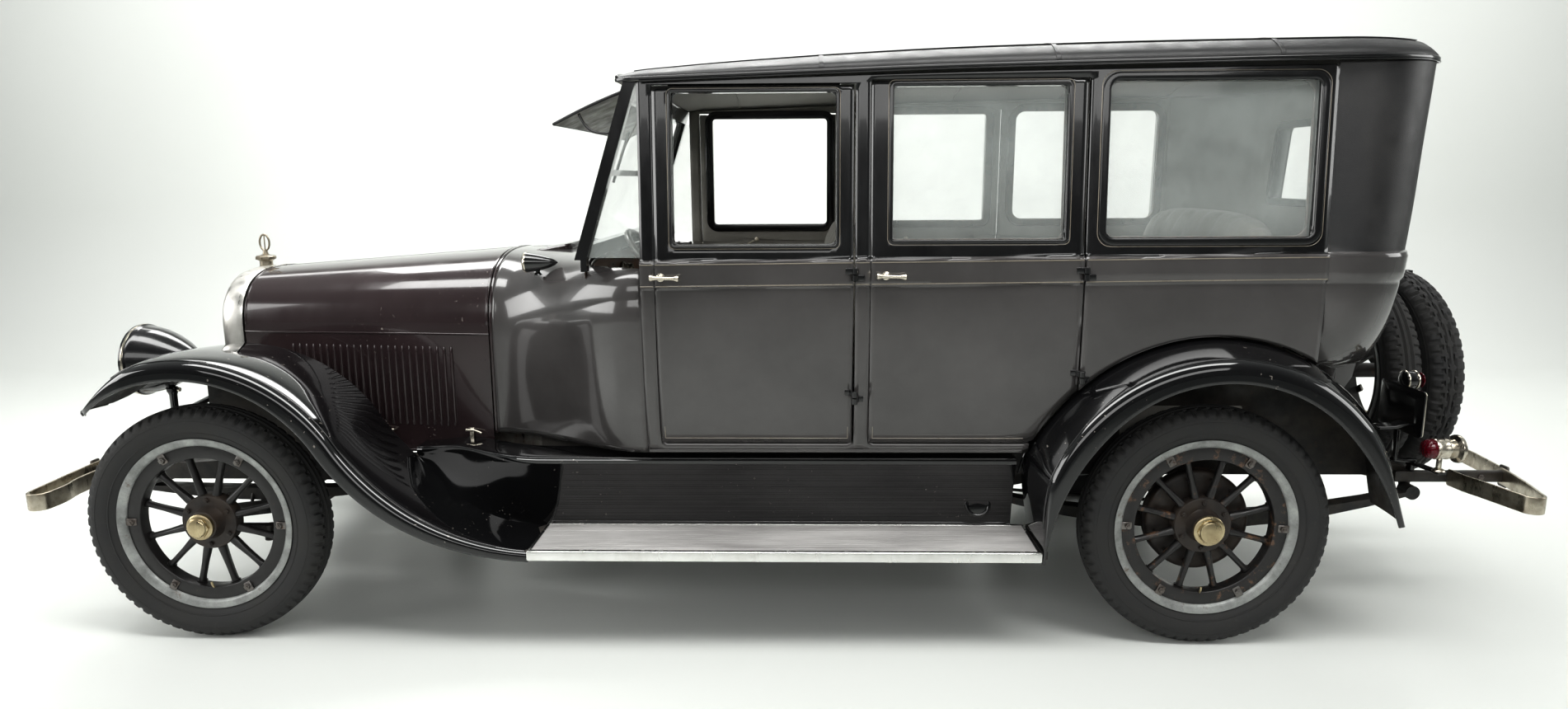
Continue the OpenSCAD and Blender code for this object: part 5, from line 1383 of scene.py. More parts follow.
def front_rows(t, s, inset):
    """The front fender over its length t and across s: edge path, moved outwards by the crown at s."""
    x, z, turn = front_path(t)
    in_y = curve([0, 0.15, 0.28, 0.4, 0.55, 0.66, 0.78, 0.9, 1], [0, 3, 14, 38, 90, 150, 230, 330, 416], s)
    out = curve([0, 0.15, 0.28, 0.4, 0.55, 0.66, 0.78, 0.9, 1], [0, 34, 52, 63, 70, 72, 68, 60, 52], s)
    k = np.where(t > 0.6, blend_value(1, 0.5, smooth((t - 0.6) / 0.4)), 1)
    k = np.where(t < 0.16, blend_value(0.25, 1, smooth(t / 0.16)), k)
    w = np.where(t > 0.62, blend_value(1, 0.64, smooth((t - 0.62) / 0.3)), 1)
    w = np.where(t < 0.12, blend_value(0.35, 1, np.sqrt(clip(t, 0, 1) / 0.12)), w)
    mid = 190 * (1 - w) * (t < 0.3)
    r = out * k - inset
    a = radians(turn)
    return points(x + r * cos(a), FENDER_Y - mid * 0.4 - in_y * w - inset * 0.4, z + r * sin(a))


class SEDAN_OT_fenders(bpy.types.Operator):
    """The four crowned fenders with rolled edges and inner skirts"""

    bl_idname = "sedan.fenders"
    bl_label = "Fenders"

    def rear_rows(self, t, s, inset):
        """The rear fender, along t and across s: an arc whose radius opens at both ends, plus its crown."""
        a = blend_value(-10, 177, t)
        edge = 517 + 80 * (1 - np.minimum(1, t / 0.3)) ** 2 + 58 * np.maximum(0, (t - 0.78) / 0.22) ** 2
        in_y = curve([0, 0.14, 0.26, 0.4, 0.56, 0.72, 0.86, 1], [0, 4, 14, 46, 100, 150, 196, 240], s)
        out = curve([0, 0.14, 0.26, 0.4, 0.56, 0.72, 0.86, 1], [0, 40, 62, 82, 106, 120, 127, 129], s)
        scale = np.where(t > 0.8, blend_value(1, 0.35, smooth((t - 0.8) / 0.2)),
            blend_value(0.06, 1, smooth(t / 0.2)))
        k = np.minimum(scale, (646 - edge) / 129)
        r = edge + out * k - inset
        a = radians(a)
        return points(ARCH_X + r * cos(a), FENDER_Y - in_y - inset * 0.4, ARCH_Z + r * sin(a))

    def shell(self, shape, rows, nt, ns):
        """A thin shell between a surface and its copy set inwards, closed at its four edges."""
        t, s = net(linspace(0, 1, nt), linspace(0, 1, ns))
        over = rows(t, s, 0.0)
        shape.sheet(over, rows(t, s, 3.5))
        shape.rod(over[:, 0] + [0, -5.2, 0], 5.2, 0, up=(0, 1, 0))
        return over

    def execute(self, context):
        shape = Shape()
        over = self.shell(shape, front_rows, 110, 36)
        shape.rod(over[0, :-1] - (over[1, :-1] - over[0, :-1]) * 0.2, 5, 0)
        t = linspace(0.14, 0.62, 50)
        x, z, turn = front_path(t)
        a = radians(turn)
        top = points(x + 47 * cos(a), FENDER_Y - 418, z + 47 * sin(a))
        foot = top.copy()
        foot[:, 2] = np.minimum(554, top[:, 2] - 5)
        shape.grid(stack([foot, top], 1), 1)
        shape.grid(stack([foot - [0, 3, 0], top - [0, 3, 0]], 1), 1, flip=True)
        step = front_rows(linspace(0.1, 0.93, 90), np.full(90, 0.36), 0.0)
        shape.rod(step - [0, 1.4, 0], 3.4, 0, up=(0, 1, 0))
        shape.rod(points([1690, 1700, 1712], [480, 560, 640], [900, 985, 1000]), 9, 1)
        shape.mirrored()
        shape.make("front_fender_shells", "chassis", "black_paint", "fender under", "front_fenders", sharp=45)

        shape = Shape()
        over = self.shell(shape, self.rear_rows, 100, 36)
        t = linspace(0.06, 0.9, 90)
        shape.rod(self.rear_rows(t, np.full(90, 0.33), 0.0) - [0, 1.0, 0], 3.4, 0, up=(0, 1, 0))
        a = radians(linspace(12.5, 167.5, 70))
        r = 645.0
        rim = points(ARCH_X + r * cos(a), FENDER_Y - 239, ARCH_Z + r * sin(a))
        low = rim.copy()
        low[:, 2] = 560
        low[:, 0] = clip(low[:, 0], ARCH_X - 630, ARCH_X + 630)
        shape.grid(stack([low, rim], 1), 1, flip=True)
        shape.grid(stack([low - [0, 3, 0], rim - [0, 3, 0]], 1), 1)
        shape.bar(rim + [0, 6, 2], 8, 5, 2, 0, up=rim - [ARCH_X, 0, ARCH_Z])
        shape.mirrored()
        shape.make("rear_fender_shells", "chassis", "black_paint", "fender under", "rear_fenders", sharp=45)
        return {"FINISHED"}


class SEDAN_OT_boards(bpy.types.Operator):
    """Running boards with matting, bright edging, end caps and brackets, and the splash aprons' trim"""

    bl_idname = "sedan.boards"
    bl_label = "Running boards"

    def execute(self, context):
        shape = Shape()
        x = linspace(BOARD_FRONT_X, BOARD_REAR_X, 40)
        ymid, wide = (FENDER_Y + BOARD_IN_Y) / 2, FENDER_Y - BOARD_IN_Y
        shape.bar(points(x, ymid, (BOARD_TOP_Z + BOARD_LOW_Z) / 2 - 1), wide - 6,
            BOARD_TOP_Z - BOARD_LOW_Z - 4, 3, 1)
        u, v = net(linspace(BOARD_FRONT_X - 10, BOARD_REAR_X + 10, 8),
            linspace(BOARD_IN_Y + 12, FENDER_Y - 9, 61))
        rib = 0.9 * (cos((v - BOARD_IN_Y) * 2 * pi / 17.4) > 0)
        shape.grid(points(u, v, BOARD_TOP_Z - 1.4 + rib), 0, flip=True)
        edge = round_rect(6, 34, 2.4, 3)
        shape.grid(ended(swept(points(x, FENDER_Y - 3, BOARD_LOW_Z + 18), edge, Z_AXIS)), 2, wrap_v=True)
        shape.bar(points(x, FENDER_Y - 8, BOARD_TOP_Z - 0.6), 14, 2.6, 1, 2)
        shape.bar(points(x, BOARD_IN_Y + 7, BOARD_TOP_Z - 0.6), 12, 2.4, 1, 2)
        for at in (BOARD_FRONT_X - 5, BOARD_REAR_X + 5):
            shape.bar([(at, BOARD_IN_Y + 4, BOARD_TOP_Z - 0.4), (at, ymid, BOARD_TOP_Z - 0.4),
                (at, FENDER_Y - 3, BOARD_TOP_Z - 0.4)], 9, 2.6, 1, 2)
        for at in (430, -280, -1020):
            shape.bar([(at, BOARD_IN_Y + 170, BOARD_LOW_Z - 1), (at, BOARD_IN_Y, BOARD_LOW_Z - 3),
                (at, 470, BOARD_LOW_Z + 30), (at, 432, 440)], 44, 8, 3, 1)
        shape.mirrored()
        shape.make("running_board_parts", "chassis", "aluminium", "board chassis bright", "running_boards")

        self.aprons()
        trim = Shape()
        centre = array([-985.0, 634, 440])
        normal = unit([0, 0.98, 0.2])
        trim.hoop(circle(7, 10) + [2, 40], centre, normal, 40, 0)
        trim.turned([[-4, 0], [-4, 34], [2, 33], [6, 0]], centre, normal, 32, 0)
        xs = linspace(556, -1090, 60)
        trim.bar(points(xs, 626, 366 + 0 * xs), 5, 10, 2, 0)
        trim.mirrored()
        trim.make("apron_trim", "chassis", "black_paint", "fender")
        return {"FINISHED"}

    def aprons(self):
        """The splash apron in section: from the board up an easy hollow curve to a rolled top. Ahead of the
        board its foot follows the front fender's inner edge up, and its top runs in towards the hood."""
        t = linspace(1, 0.66, 40)
        inner = front_rows(t, np.ones(40), 0.0)
        x = concatenate([linspace(BOARD_REAR_X + 48, BOARD_FRONT_X - 8, 30), inner[1:, 0]])
        foot_y = concatenate([np.full(30, BOARD_IN_Y + 2), inner[1:, 1]])
        foot_z = concatenate([np.full(30, BOARD_LOW_Z + 8), inner[1:, 2] - 3])
        ahead = smooth((x - BOARD_FRONT_X) / (x[-1] - BOARD_FRONT_X))
        top_y = 686 - (686 - 488) * ahead
        low_z = 603 + (foot_z[-1] + 6 - 603) * smooth((x - 900) / (x[-1] - 900)) * 0.6
        s = linspace(0, 1, 22)
        up = s[None, :] ** 0.9
        hollow = 12 * sin(pi * up)
        y = foot_y[:, None] + (top_y - foot_y)[:, None] * up ** 1.35 - hollow * 0.4
        z = foot_z[:, None] + (low_z - foot_z)[:, None] * up
        lip_y = top_y[:, None] + [3, 2, -6, -20, -46, -90, -150]
        lip_z = low_z[:, None] + [7, 15, 22, 24, 24, 24, 24]
        face = points(x[:, None], concatenate([y, lip_y], 1), concatenate([z, lip_z], 1))
        apron = Shape()
        apron.grid(face, 0, flip=True)
        apron.grid(face - [0, 3.2, 1.2], 1)
        for e in (0, -1):
            apron.grid(stack([face[e], face[e] - [0, 3.2, 1.2]], 0), 0, flip=e == 0)
        apron.rod(face[:, 24] + [0, 0.5, -1.5], 3.6, 0)
        apron.mirrored()
        apron.make("apron_sheets", "chassis", "black_paint", "fender under", "splash_aprons", recalc=False)


# ---------------------------------------------------------------- front and rear fittings


class SEDAN_OT_radiator(bpy.types.Operator):
    """The plated radiator shell, its cap and looped ornament, comb, and the apron below it"""

    bl_idname = "sedan.radiator"
    bl_label = "Radiator"

    def outline(self, inset, n=40):
        """The shell's outline: straight sides, then the hood's arch, from one foot over to the other."""
        arch = hood_arch(np.full(n, RADIATOR_X), linspace(0, 90, n), inset)[:, 1:]
        foot = points(arch[0, 0], linspace(522, arch[0, 1], 16)[:-1])
        half = concatenate([foot, arch])
        return concatenate([half, half[-2::-1] * [-1, 1]])

    def execute(self, context):
        shape = Shape()
        rows = []
        for x, inset in ((4, 4), (4, -2), (14, -4), (40, -3), (66, 0), (84, 6), (93, 16), (97, 30),
                (94, 39), (84, 44), (20, 44), (4, 40)):
            line = self.outline(inset)
            rows.append(points(RADIATOR_X + x, line[:, 0], line[:, 1]))
        rows = stack(rows)
        shape.grid(rows, 0, wrap_u=True)
        for e in (0, -1):
            shape.grid(stack([rows[:6, e], rows[:5:-1, e]], 1), 0)
        w = hood_width(RADIATOR_X) - 36
        shape.bar([(RADIATOR_X + 52, -w - 8, 536), (RADIATOR_X + 52, w + 8, 536)], 84, 34, 8, 0, n=4)
        crest, stem = crest_z(RADIATOR_X), RADIATOR_X + 62
        cap = [[-14, 0], [-14, 30], [-6, 31], [-3, 28], [0, 25], [20, 25], [24, 31], [27, 36], [38, 37.5],
            [42, 34], [44, 22], [48, 12], [58, 9], [66, 8], [68, 0]]
        shape.turned(cap, (stem, 0, crest), Z_AXIS, 40, 1)
        for out in around(8):
            at = array([stem + 36 * out[0], 36 * out[2], crest + 28])
            shape.rod([at, at + 10 * Z_AXIS], 4, 1, up=X_AXIS)
        t = 2 * pi * arange(48) / 48
        ring = points(stem + 20 * cos(t), 0, crest + 96 + 33 * sin(t))
        across, high = loop_frame(ring, Y_AXIS, True)
        section = circle(4.2, 10)
        shape.grid(ring[:, None] + section[None, :, :1] * across[:, None] + section[None, :, 1:] * high[:,
            None], 1, wrap_u=True, wrap_v=True)
        shape.rod([(stem, 0, crest + 64), (stem, 0, crest + 128)], 2.6, 1, up=X_AXIS)
        shape.make("radiator_case", "chassis", "nickel", "shell tarnished", "radiator_shell", sharp=40)
        front = Shape()
        for k in range(1, 22):
            y = -w + 2 * w * k / 22
            top = 1076 + 104 * cos(y / w * pi / 2)
            front.bar([(RADIATOR_X + 82, y, 556), (RADIATOR_X + 82, y, top)], 3, 8, 1.2, 0, up=X_AXIS)
        front.bar([(RADIATOR_X + 84, -170, 420), (RADIATOR_X + 84, 170, 420)], 6, 6, 2, 1)
        front.rod([(RADIATOR_X + 70, 0, 470), (RADIATOR_X + 190, 0, 452), (RADIATOR_X + 196, 0, 452)], 12,
            1, up=Z_AXIS)
        front.make("radiator_shutter", "chassis", "chassis_paint", "black chassis")
        return {"FINISHED"}


class SEDAN_OT_lamps(bpy.types.Operator):
    """Headlamps on their bar, scuttle lamps, tail lamps, stop lamp and the blank number plate"""

    bl_idname = "sedan.lamps"
    bl_label = "Lamps and plate"

    def execute(self, context):
        shape = Shape()
        axis = -X_AXIS
        at = array([2185.0, 385, 925])
        bowl = [[4, 116], [0, 124], [0, 130], [4, 135], [14, 137], [24, 136], [28, 131], [34, 129],
            [52, 127], [90, 117], [130, 99], [170, 74], [206, 45], [232, 20], [243, 7], [246, 0]]
        shape.turned([[30, 0], [22, 60], [12, 112], [4, 116]] + bowl[1:], at, axis, 64, 0)
        shape.hoop([[-1, 122], [2, 129], [9, 135.5], [16, 137.6], [22, 136.6], [20, 133], [8, 128],
            [4, 121]], at, axis, 64, 1)
        shape.turned([[58, 0], [46, 40], [26, 80], [8, 112], [4, 116], [9, 113], [28, 81], [49, 40],
            [61, 0]], at - axis * 2, axis, 48, 2)
        shape.turned([[2, 0], [3, 60], [6, 120], [9, 122], [8, 60], [7, 0]], at, axis, 48, 3)
        shape.turned([[20, 0], [24, 9], [34, 11], [44, 8], [50, 0]], at, axis, 18, 3)
        shape.turned([[0, 0], [0, 30], [6, 34], [14, 32], [40, 16], [60, 13]] + [[250, 14], [262, 18],
            [280, 17], [282, 0]], (2080, 385, 535), Z_AXIS, 28, 0)
        shape.bar([(2080, 385, 800), (2080, 385, 812)], 40, 30, 8, 0, up=X_AXIS)
        shape.bolt((2058, 385, 806), -X_AXIS, 9, 10, 1)
        shape.mirrored()
        shape.rod(points(2080, linspace(-372, 372, 20),
            700 + 26 * cos(linspace(-372, 372, 20) / 372 * pi / 2)), 13, 0, up=Z_AXIS)
        shape.make("headlamp_pair", "chassis", "black_paint", "black nickel silver lens", "headlamps")

        shape = Shape()
        low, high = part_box("side_lamps")
        y = 1000 * high.y - 38
        top = 1300.0
        shape.turned([[2, 0], [1, 22], [0, 33], [3, 36.5], [9, 38], [16, 37], [30, 35], [60, 29], [92, 20],
            [114, 10], [126, 0]], (662, y, top), axis, 36, 0)
        shape.hoop([[-0.5, 31], [2, 36], [8, 39], [12, 37.6], [6, 33]], (662, y, top), axis, 36, 1)
        shape.turned([[3, 0], [1, 20], [3, 31.5], [6, 20], [7, 0]], (663, y, top), axis, 30, 2)
        shape.turned([[0, 0], [0, 16], [4, 14], [10, 8], [34, 7], [36, 0]], (612, y, 1000 * low.z + 2),
            Z_AXIS, 24, 0)
        shape.mirrored()
        shape.make("scuttle_lamps", "chassis", "black_paint", "black nickel lens", "side_lamps")
        self.tail()
        return {"FINISHED"}

    def tail(self):
        """Tail lamps: plated barrels along the car, a dark red glass in front and a ribbed ring behind."""
        axis = -X_AXIS
        shape = Shape()
        at = array([-2560.0, 600, 640])
        shape.turned([[0, 0], [1, 14], [5, 26], [12, 32], [28, 34.5], [34, 34.5]] + [[34, 0]], at, axis,
            40, 2)
        barrel = [[34, 30], [34, 36], [38, 37.5], [42, 36], [46, 35], [70, 35], [74, 37.5], [80, 37.5],
            [84, 35], [104, 35], [108, 42], [112, 49], [118, 50.5], [124, 49.5], [126, 44], [120, 38],
            [112, 34]]
        shape.turned(barrel, at, axis, 48, 0)
        shape.turned([[112, 34], [118, 22], [121, 0]], at, axis, 40, 2)
        shape.rod([(-2622, 600, 562), (-2622, 600, 606)], 9, 0, up=X_AXIS)
        shape.turned([[0, 0], [0, 22], [5, 20], [10, 12], [12, 0]], (-2622, 600, 558), Z_AXIS, 24, 0)
        shape.bar([(-2620, 624, 555), (-2620, 560, 552), (-2620, 500, 548), (-2620, 446, 540)], 32, 9, 3, 1)
        shape.bar([(-2620, 452, 518), (-2620, 452, 556)], 30, 16, 4, 1, up=X_AXIS)
        shape.mirrored()
        face = round_rect(252, 168, 14, 6)
        layers = ((3, 0), (3, 0.5), (3, 0.985), (2, 1), (-2, 1), (-3, 0.985), (-3, 0.5), (-3, 0))
        rows = [points(-2527 + d, 510 + face[:, 0] * k, 768 + face[:, 1] * k) for d, k in layers]
        shape.grid(stack(rows), 1, wrap_v=True)
        plate = round_rect(244, 160, 10, 4)
        shape.band(points(-2532, plate[:, 0] + 510, plate[:, 1] + 768), X_AXIS, round_rect(4, 4, 1.4, 2))
        shape.turned([[0, 0], [0, 24], [4, 31], [10, 33], [44, 33], [50, 29], [58, 22], [64, 10], [66, 0]],
            (-2526, 500, 868), -X_AXIS, 36, 1)
        shape.turned([[64, 0], [64, 26], [66, 27], [67, 0]], (-2526, 500, 868), -X_AXIS, 30, 2)
        for at in (8, 42):
            shape.hoop(circle(3, 8) + [at, 33], (-2526, 500, 868), -X_AXIS, 36, 0)
        shape.bar([(-2538, 482, 566), (-2538, 482, 700), (-2538, 484, 868)], 24, 12, 3, 1, up=X_AXIS)
        shape.bar([(-2616, 474, 560), (-2570, 478, 560), (-2532, 482, 566)], 24, 10, 3, 1)
        shape.bar([(-2440, 520, 700), (-2490, 530, 706), (-2532, 536, 720)], 60, 10, 3, 1)
        shape.make("tail_fittings", "chassis", "nickel", "nickel black red", "tail_lamps")


def bumper_x(face, s, sag, y, half):
    """The bumper's face in plan: bowed back by the square of the distance from the middle."""
    return face - s * sag * (y / half) ** 2


class SEDAN_OT_bumpers(bpy.types.Operator):
    """Spring-bar bumpers: two bars looped at their ends, clamps, bolts and arms"""

    bl_idname = "sedan.bumpers"
    bl_label = "Bumpers"

    def bars(self, shape, face, s, sag, inner, z):
        """One strap from the middle out along its bow, round the end's half circle and back inside."""
        loop_r, half, height = 40.0, 790.0, 62.0
        end_y = half - loop_r
        y = linspace(0, end_y, 24)
        outer = points(bumper_x(face, s, sag, y, half) - s * 4.5, y)
        cx = outer[-1, 0] - s * (loop_r - 4.5)
        a = radians(linspace(0, 180, 15))[1:]
        bend = points(cx + s * (loop_r - 4.5) * cos(a), end_y + (loop_r - 4.5) * sin(a))
        t = linspace(0, 1, 26)[1:]
        stops = array([[bend[-1, 0], bend[-1, 1]]] + [[bend[-1, 0] + s * dx, yy] for dx, yy in inner])
        along = concatenate([[0], np.cumsum(np.linalg.norm(np.diff(stops, axis=0), axis=1))])
        back = points(curve(along, stops[:, 0], along[-1] * t), np.interp(along[-1] * t, along, stops[:, 1]))
        plan = concatenate([outer, bend, back])
        path = points(plan[:, 0], plan[:, 1], z)
        shape.bar(path, 9, height, 3.4, 0)
        return path

    def execute(self, context):
        for name, face, s, sag, inner, z, arm_y, x_arm in (
            ("front", AXLE_X + 698, 1, 45, [(-2, 700), (4, 655), (16, 610), (20, 500), (20, 0)], 489, 400,
                2180),
            ("rear", -AXLE_X - 1283, -1, 140, [(-14, 690), (-34, 600), (-50, 540), (-56, 470)], 493, 457,
                -2560),
        ):
            shape = Shape()
            self.bars(shape, face, s, sag, inner, z)
            x = bumper_x(face, s, sag, arm_y, 790)
            shape.bar([(x - s * 1.4, arm_y, z - 36), (x - s * 1.4, arm_y, z + 36)], 44, 8, 3, 1, up=X_AXIS)
            shape.turned([[0, 0], [0, 19], [4, 17], [8, 10], [9, 0]], (x - s * 1.0, arm_y, z), s * X_AXIS,
                28, 1)
            arm = linspace(0, 1, 10)
            xa = x - s * 8 + (x_arm + s * 4 - x + s * 8) * arm
            zed = z if name == "rear" else z - 8 * smooth((arm - 0.5) / 0.4)
            shape.bar(points(xa, arm_y, zed), 23, 42 if name == "rear" else 34, 6, 2)
            shape.bolt((xa[0] + (xa[-1] - xa[0]) * 0.22, arm_y + 11, z), Y_AXIS, 11, 10, 1)
            shape.mirrored()
            if name == "front":
                shape.bar([(face - 4.5, -26, z), (face - 4.5, 26, z)], 18, 76, 4, 1)
                shape.bar([(face - 61, -26, z), (face - 61, 26, z)], 18, 70, 4, 1)
                shape.rod([(face - 10, 0, z), (face - 60, 0, z)], 11, 2, up=Z_AXIS)
            shape.make(name + "_bumper_bars", "chassis", "nickel", "bumper steel chassis", name + "_bumper")
        return {"FINISHED"}


# ---------------------------------------------------------------- inside the car


def cushion(x0, x1, y0, y1, z0, z1, n=3.0, puff=0.0):
    """A closed cushion: a sphere whose points are pushed towards a box's faces by a power under one of each
    direction, then crowned on top by a share of its height."""
    u = linspace(0, pi, 41)[:, None]
    v = linspace(0, 2 * pi, 81)[None, :-1]
    e = 2 / n
    power = lambda q: np.sign(q) * np.abs(q) ** e
    x, y, z = power(sin(u)) * power(cos(v)), power(sin(u)) * power(sin(v)), power(cos(u)) + 0 * v
    p = points(x, y, z) / 2
    p[..., 2] += puff * cos(pi * p[..., 0]) * cos(pi * p[..., 1]) * (p[..., 2] > 0)
    size, mid = array([x1 - x0, y1 - y0, z1 - z0]), array([x1 + x0, y1 + y0, z1 + z0]) / 2
    return p * size + mid


def swell(obj, cap, pressure=4.0, voxel=0.02):
    """Blows the cushion up as cloth from inside, no point moving further than the cap, and applies it."""
    rest = remeshed(obj, voxel)
    cloth = obj.modifiers.new("cloth", "CLOTH")
    s = cloth.settings
    s.use_pressure = True
    s.uniform_pressure_force = pressure
    s.quality = 5
    s.mass = 0.4
    s.tension_stiffness = s.compression_stiffness = 12
    s.bending_stiffness = 0.6
    s.effector_weights.gravity = 0
    scene = bpy.context.scene
    for f in range(1, 13):
        scene.frame_set(f)
    graph = bpy.context.evaluated_depsgraph_get()
    done = obj.evaluated_get(graph)
    co = np.empty(len(done.data.vertices) * 3, np.float32)
    done.data.vertices.foreach_get("co", co)
    obj.modifiers.remove(cloth)
    scene.frame_set(1)
    moved = co.reshape(-1, 3) - rest
    far = np.linalg.norm(moved, axis=1, keepdims=True)
    moved *= np.minimum(1, cap / np.maximum(far, 1e-9))
    obj.data.vertices.foreach_set("co", (rest + moved).astype(np.float32).ravel())
    obj.data.update()
    return obj


def remeshed(obj, voxel):
    """Evenly remeshes the object's mesh in place and gives back its points."""
    m = obj.modifiers.new("even", "REMESH")
    m.mode = "VOXEL"
    m.voxel_size = voxel
    graph = bpy.context.evaluated_depsgraph_get()
    mesh = bpy.data.meshes.new_from_object(obj.evaluated_get(graph))
    obj.modifiers.remove(m)
    for material in obj.data.materials[len(mesh.materials):]:
        mesh.materials.append(material)
    obj.data = mesh
    mesh.polygons.foreach_set("use_smooth", np.ones(len(mesh.polygons), bool))
    rest = np.empty(len(mesh.vertices) * 3, np.float32)
    mesh.vertices.foreach_get("co", rest)
    return rest.reshape(-1, 3).copy()


def pleated(obj, pitch, depth, y_half):
    """Presses sewn channels into a cushion's front and top: a narrow dip at every pitch across the car."""
    co = np.empty(len(obj.data.vertices) * 3, np.float32)
    obj.data.vertices.foreach_get("co", co)
    co = co.reshape(-1, 3)
    phase = np.abs(((co[:, 1] / pitch) % 1) - 0.5) * 2
    dip = np.exp(-(((1 - phase) / 0.16) ** 2)) * depth
    middle_point = (co.max(0) + co.min(0)) / 2
    inward = unit((middle_point - co) * [1, 0, 1])
    edge = smooth((y_half - np.abs(co[:, 1])) / 0.05)
    co += (inward * (dip * edge)[:, None]).astype(np.float32)
    obj.data.vertices.foreach_set("co", co.ravel())
    obj.data.update()


class SEDAN_OT_seats(bpy.types.Operator):
    """Front and rear bench seats: sprung cushions and backs with sewn channels, their bases and a rail on the
    front seat's back
    """

    bl_idname = "sedan.seats"
    bl_label = "Seats"

    def execute(self, context):
        parts = (
            ("front_seat_cushion", (-470, 6, -592, 592, 820, 1016), 4.2, 0.12, 0.016),
            ("front_seat_back", (-590, -462, -592, 592, 830, 1444), 3.6, 0.0, 0.016),
            ("rear_seat_cushion", (-1930, -1412, -592, 592, 820, 1020), 4.2, 0.12, 0.016),
            ("rear_seat_back", (-2058, -1908, -592, 592, 900, 1486), 3.6, 0.0, 0.018),
        )
        for name, box, power, puff, cap in parts:
            shape = Shape().grid(cushion(*box, n=power, puff=puff), 0, wrap_v=True)
            obj = shape.make(name, "chassis", "cloth", "cloth", "seats", sharp=0)
            swell(obj, cap)
            pleated(obj, 0.118, 0.012, 0.585)
            m = obj.modifiers.new("smooth", "SUBSURF")
            m.levels = m.render_levels = 1
        base = Shape()
        for x0, x1 in ((-480, -6), (-1935, -1425)):
            base.bar([((x0 + x1) / 2, -596, 752), ((x0 + x1) / 2, 596, 752)], x1 - x0, 138, 10, 0)
        base.bar([(-598, 0, 690), (-598, 0, 1420)], 1190, 10, 4, 1, up=X_AXIS)
        base.bar([(-604, 0, 1060), (-604, 0, 1390)], 1000, 6, 2, 0, up=X_AXIS)
        y = linspace(-430, 430, 20)
        base.rod(points(-640 - 10 * cos(y / 430 * pi / 2), y, 1378), 9, 2)
        for s in (-430, 430):
            base.rod([(-604, s, 1388), (-640, s, 1378)], 8, 3)
        base.make("seat_bases", "chassis", "cloth", "trim garnish cloth nickel")
        return {"FINISHED"}


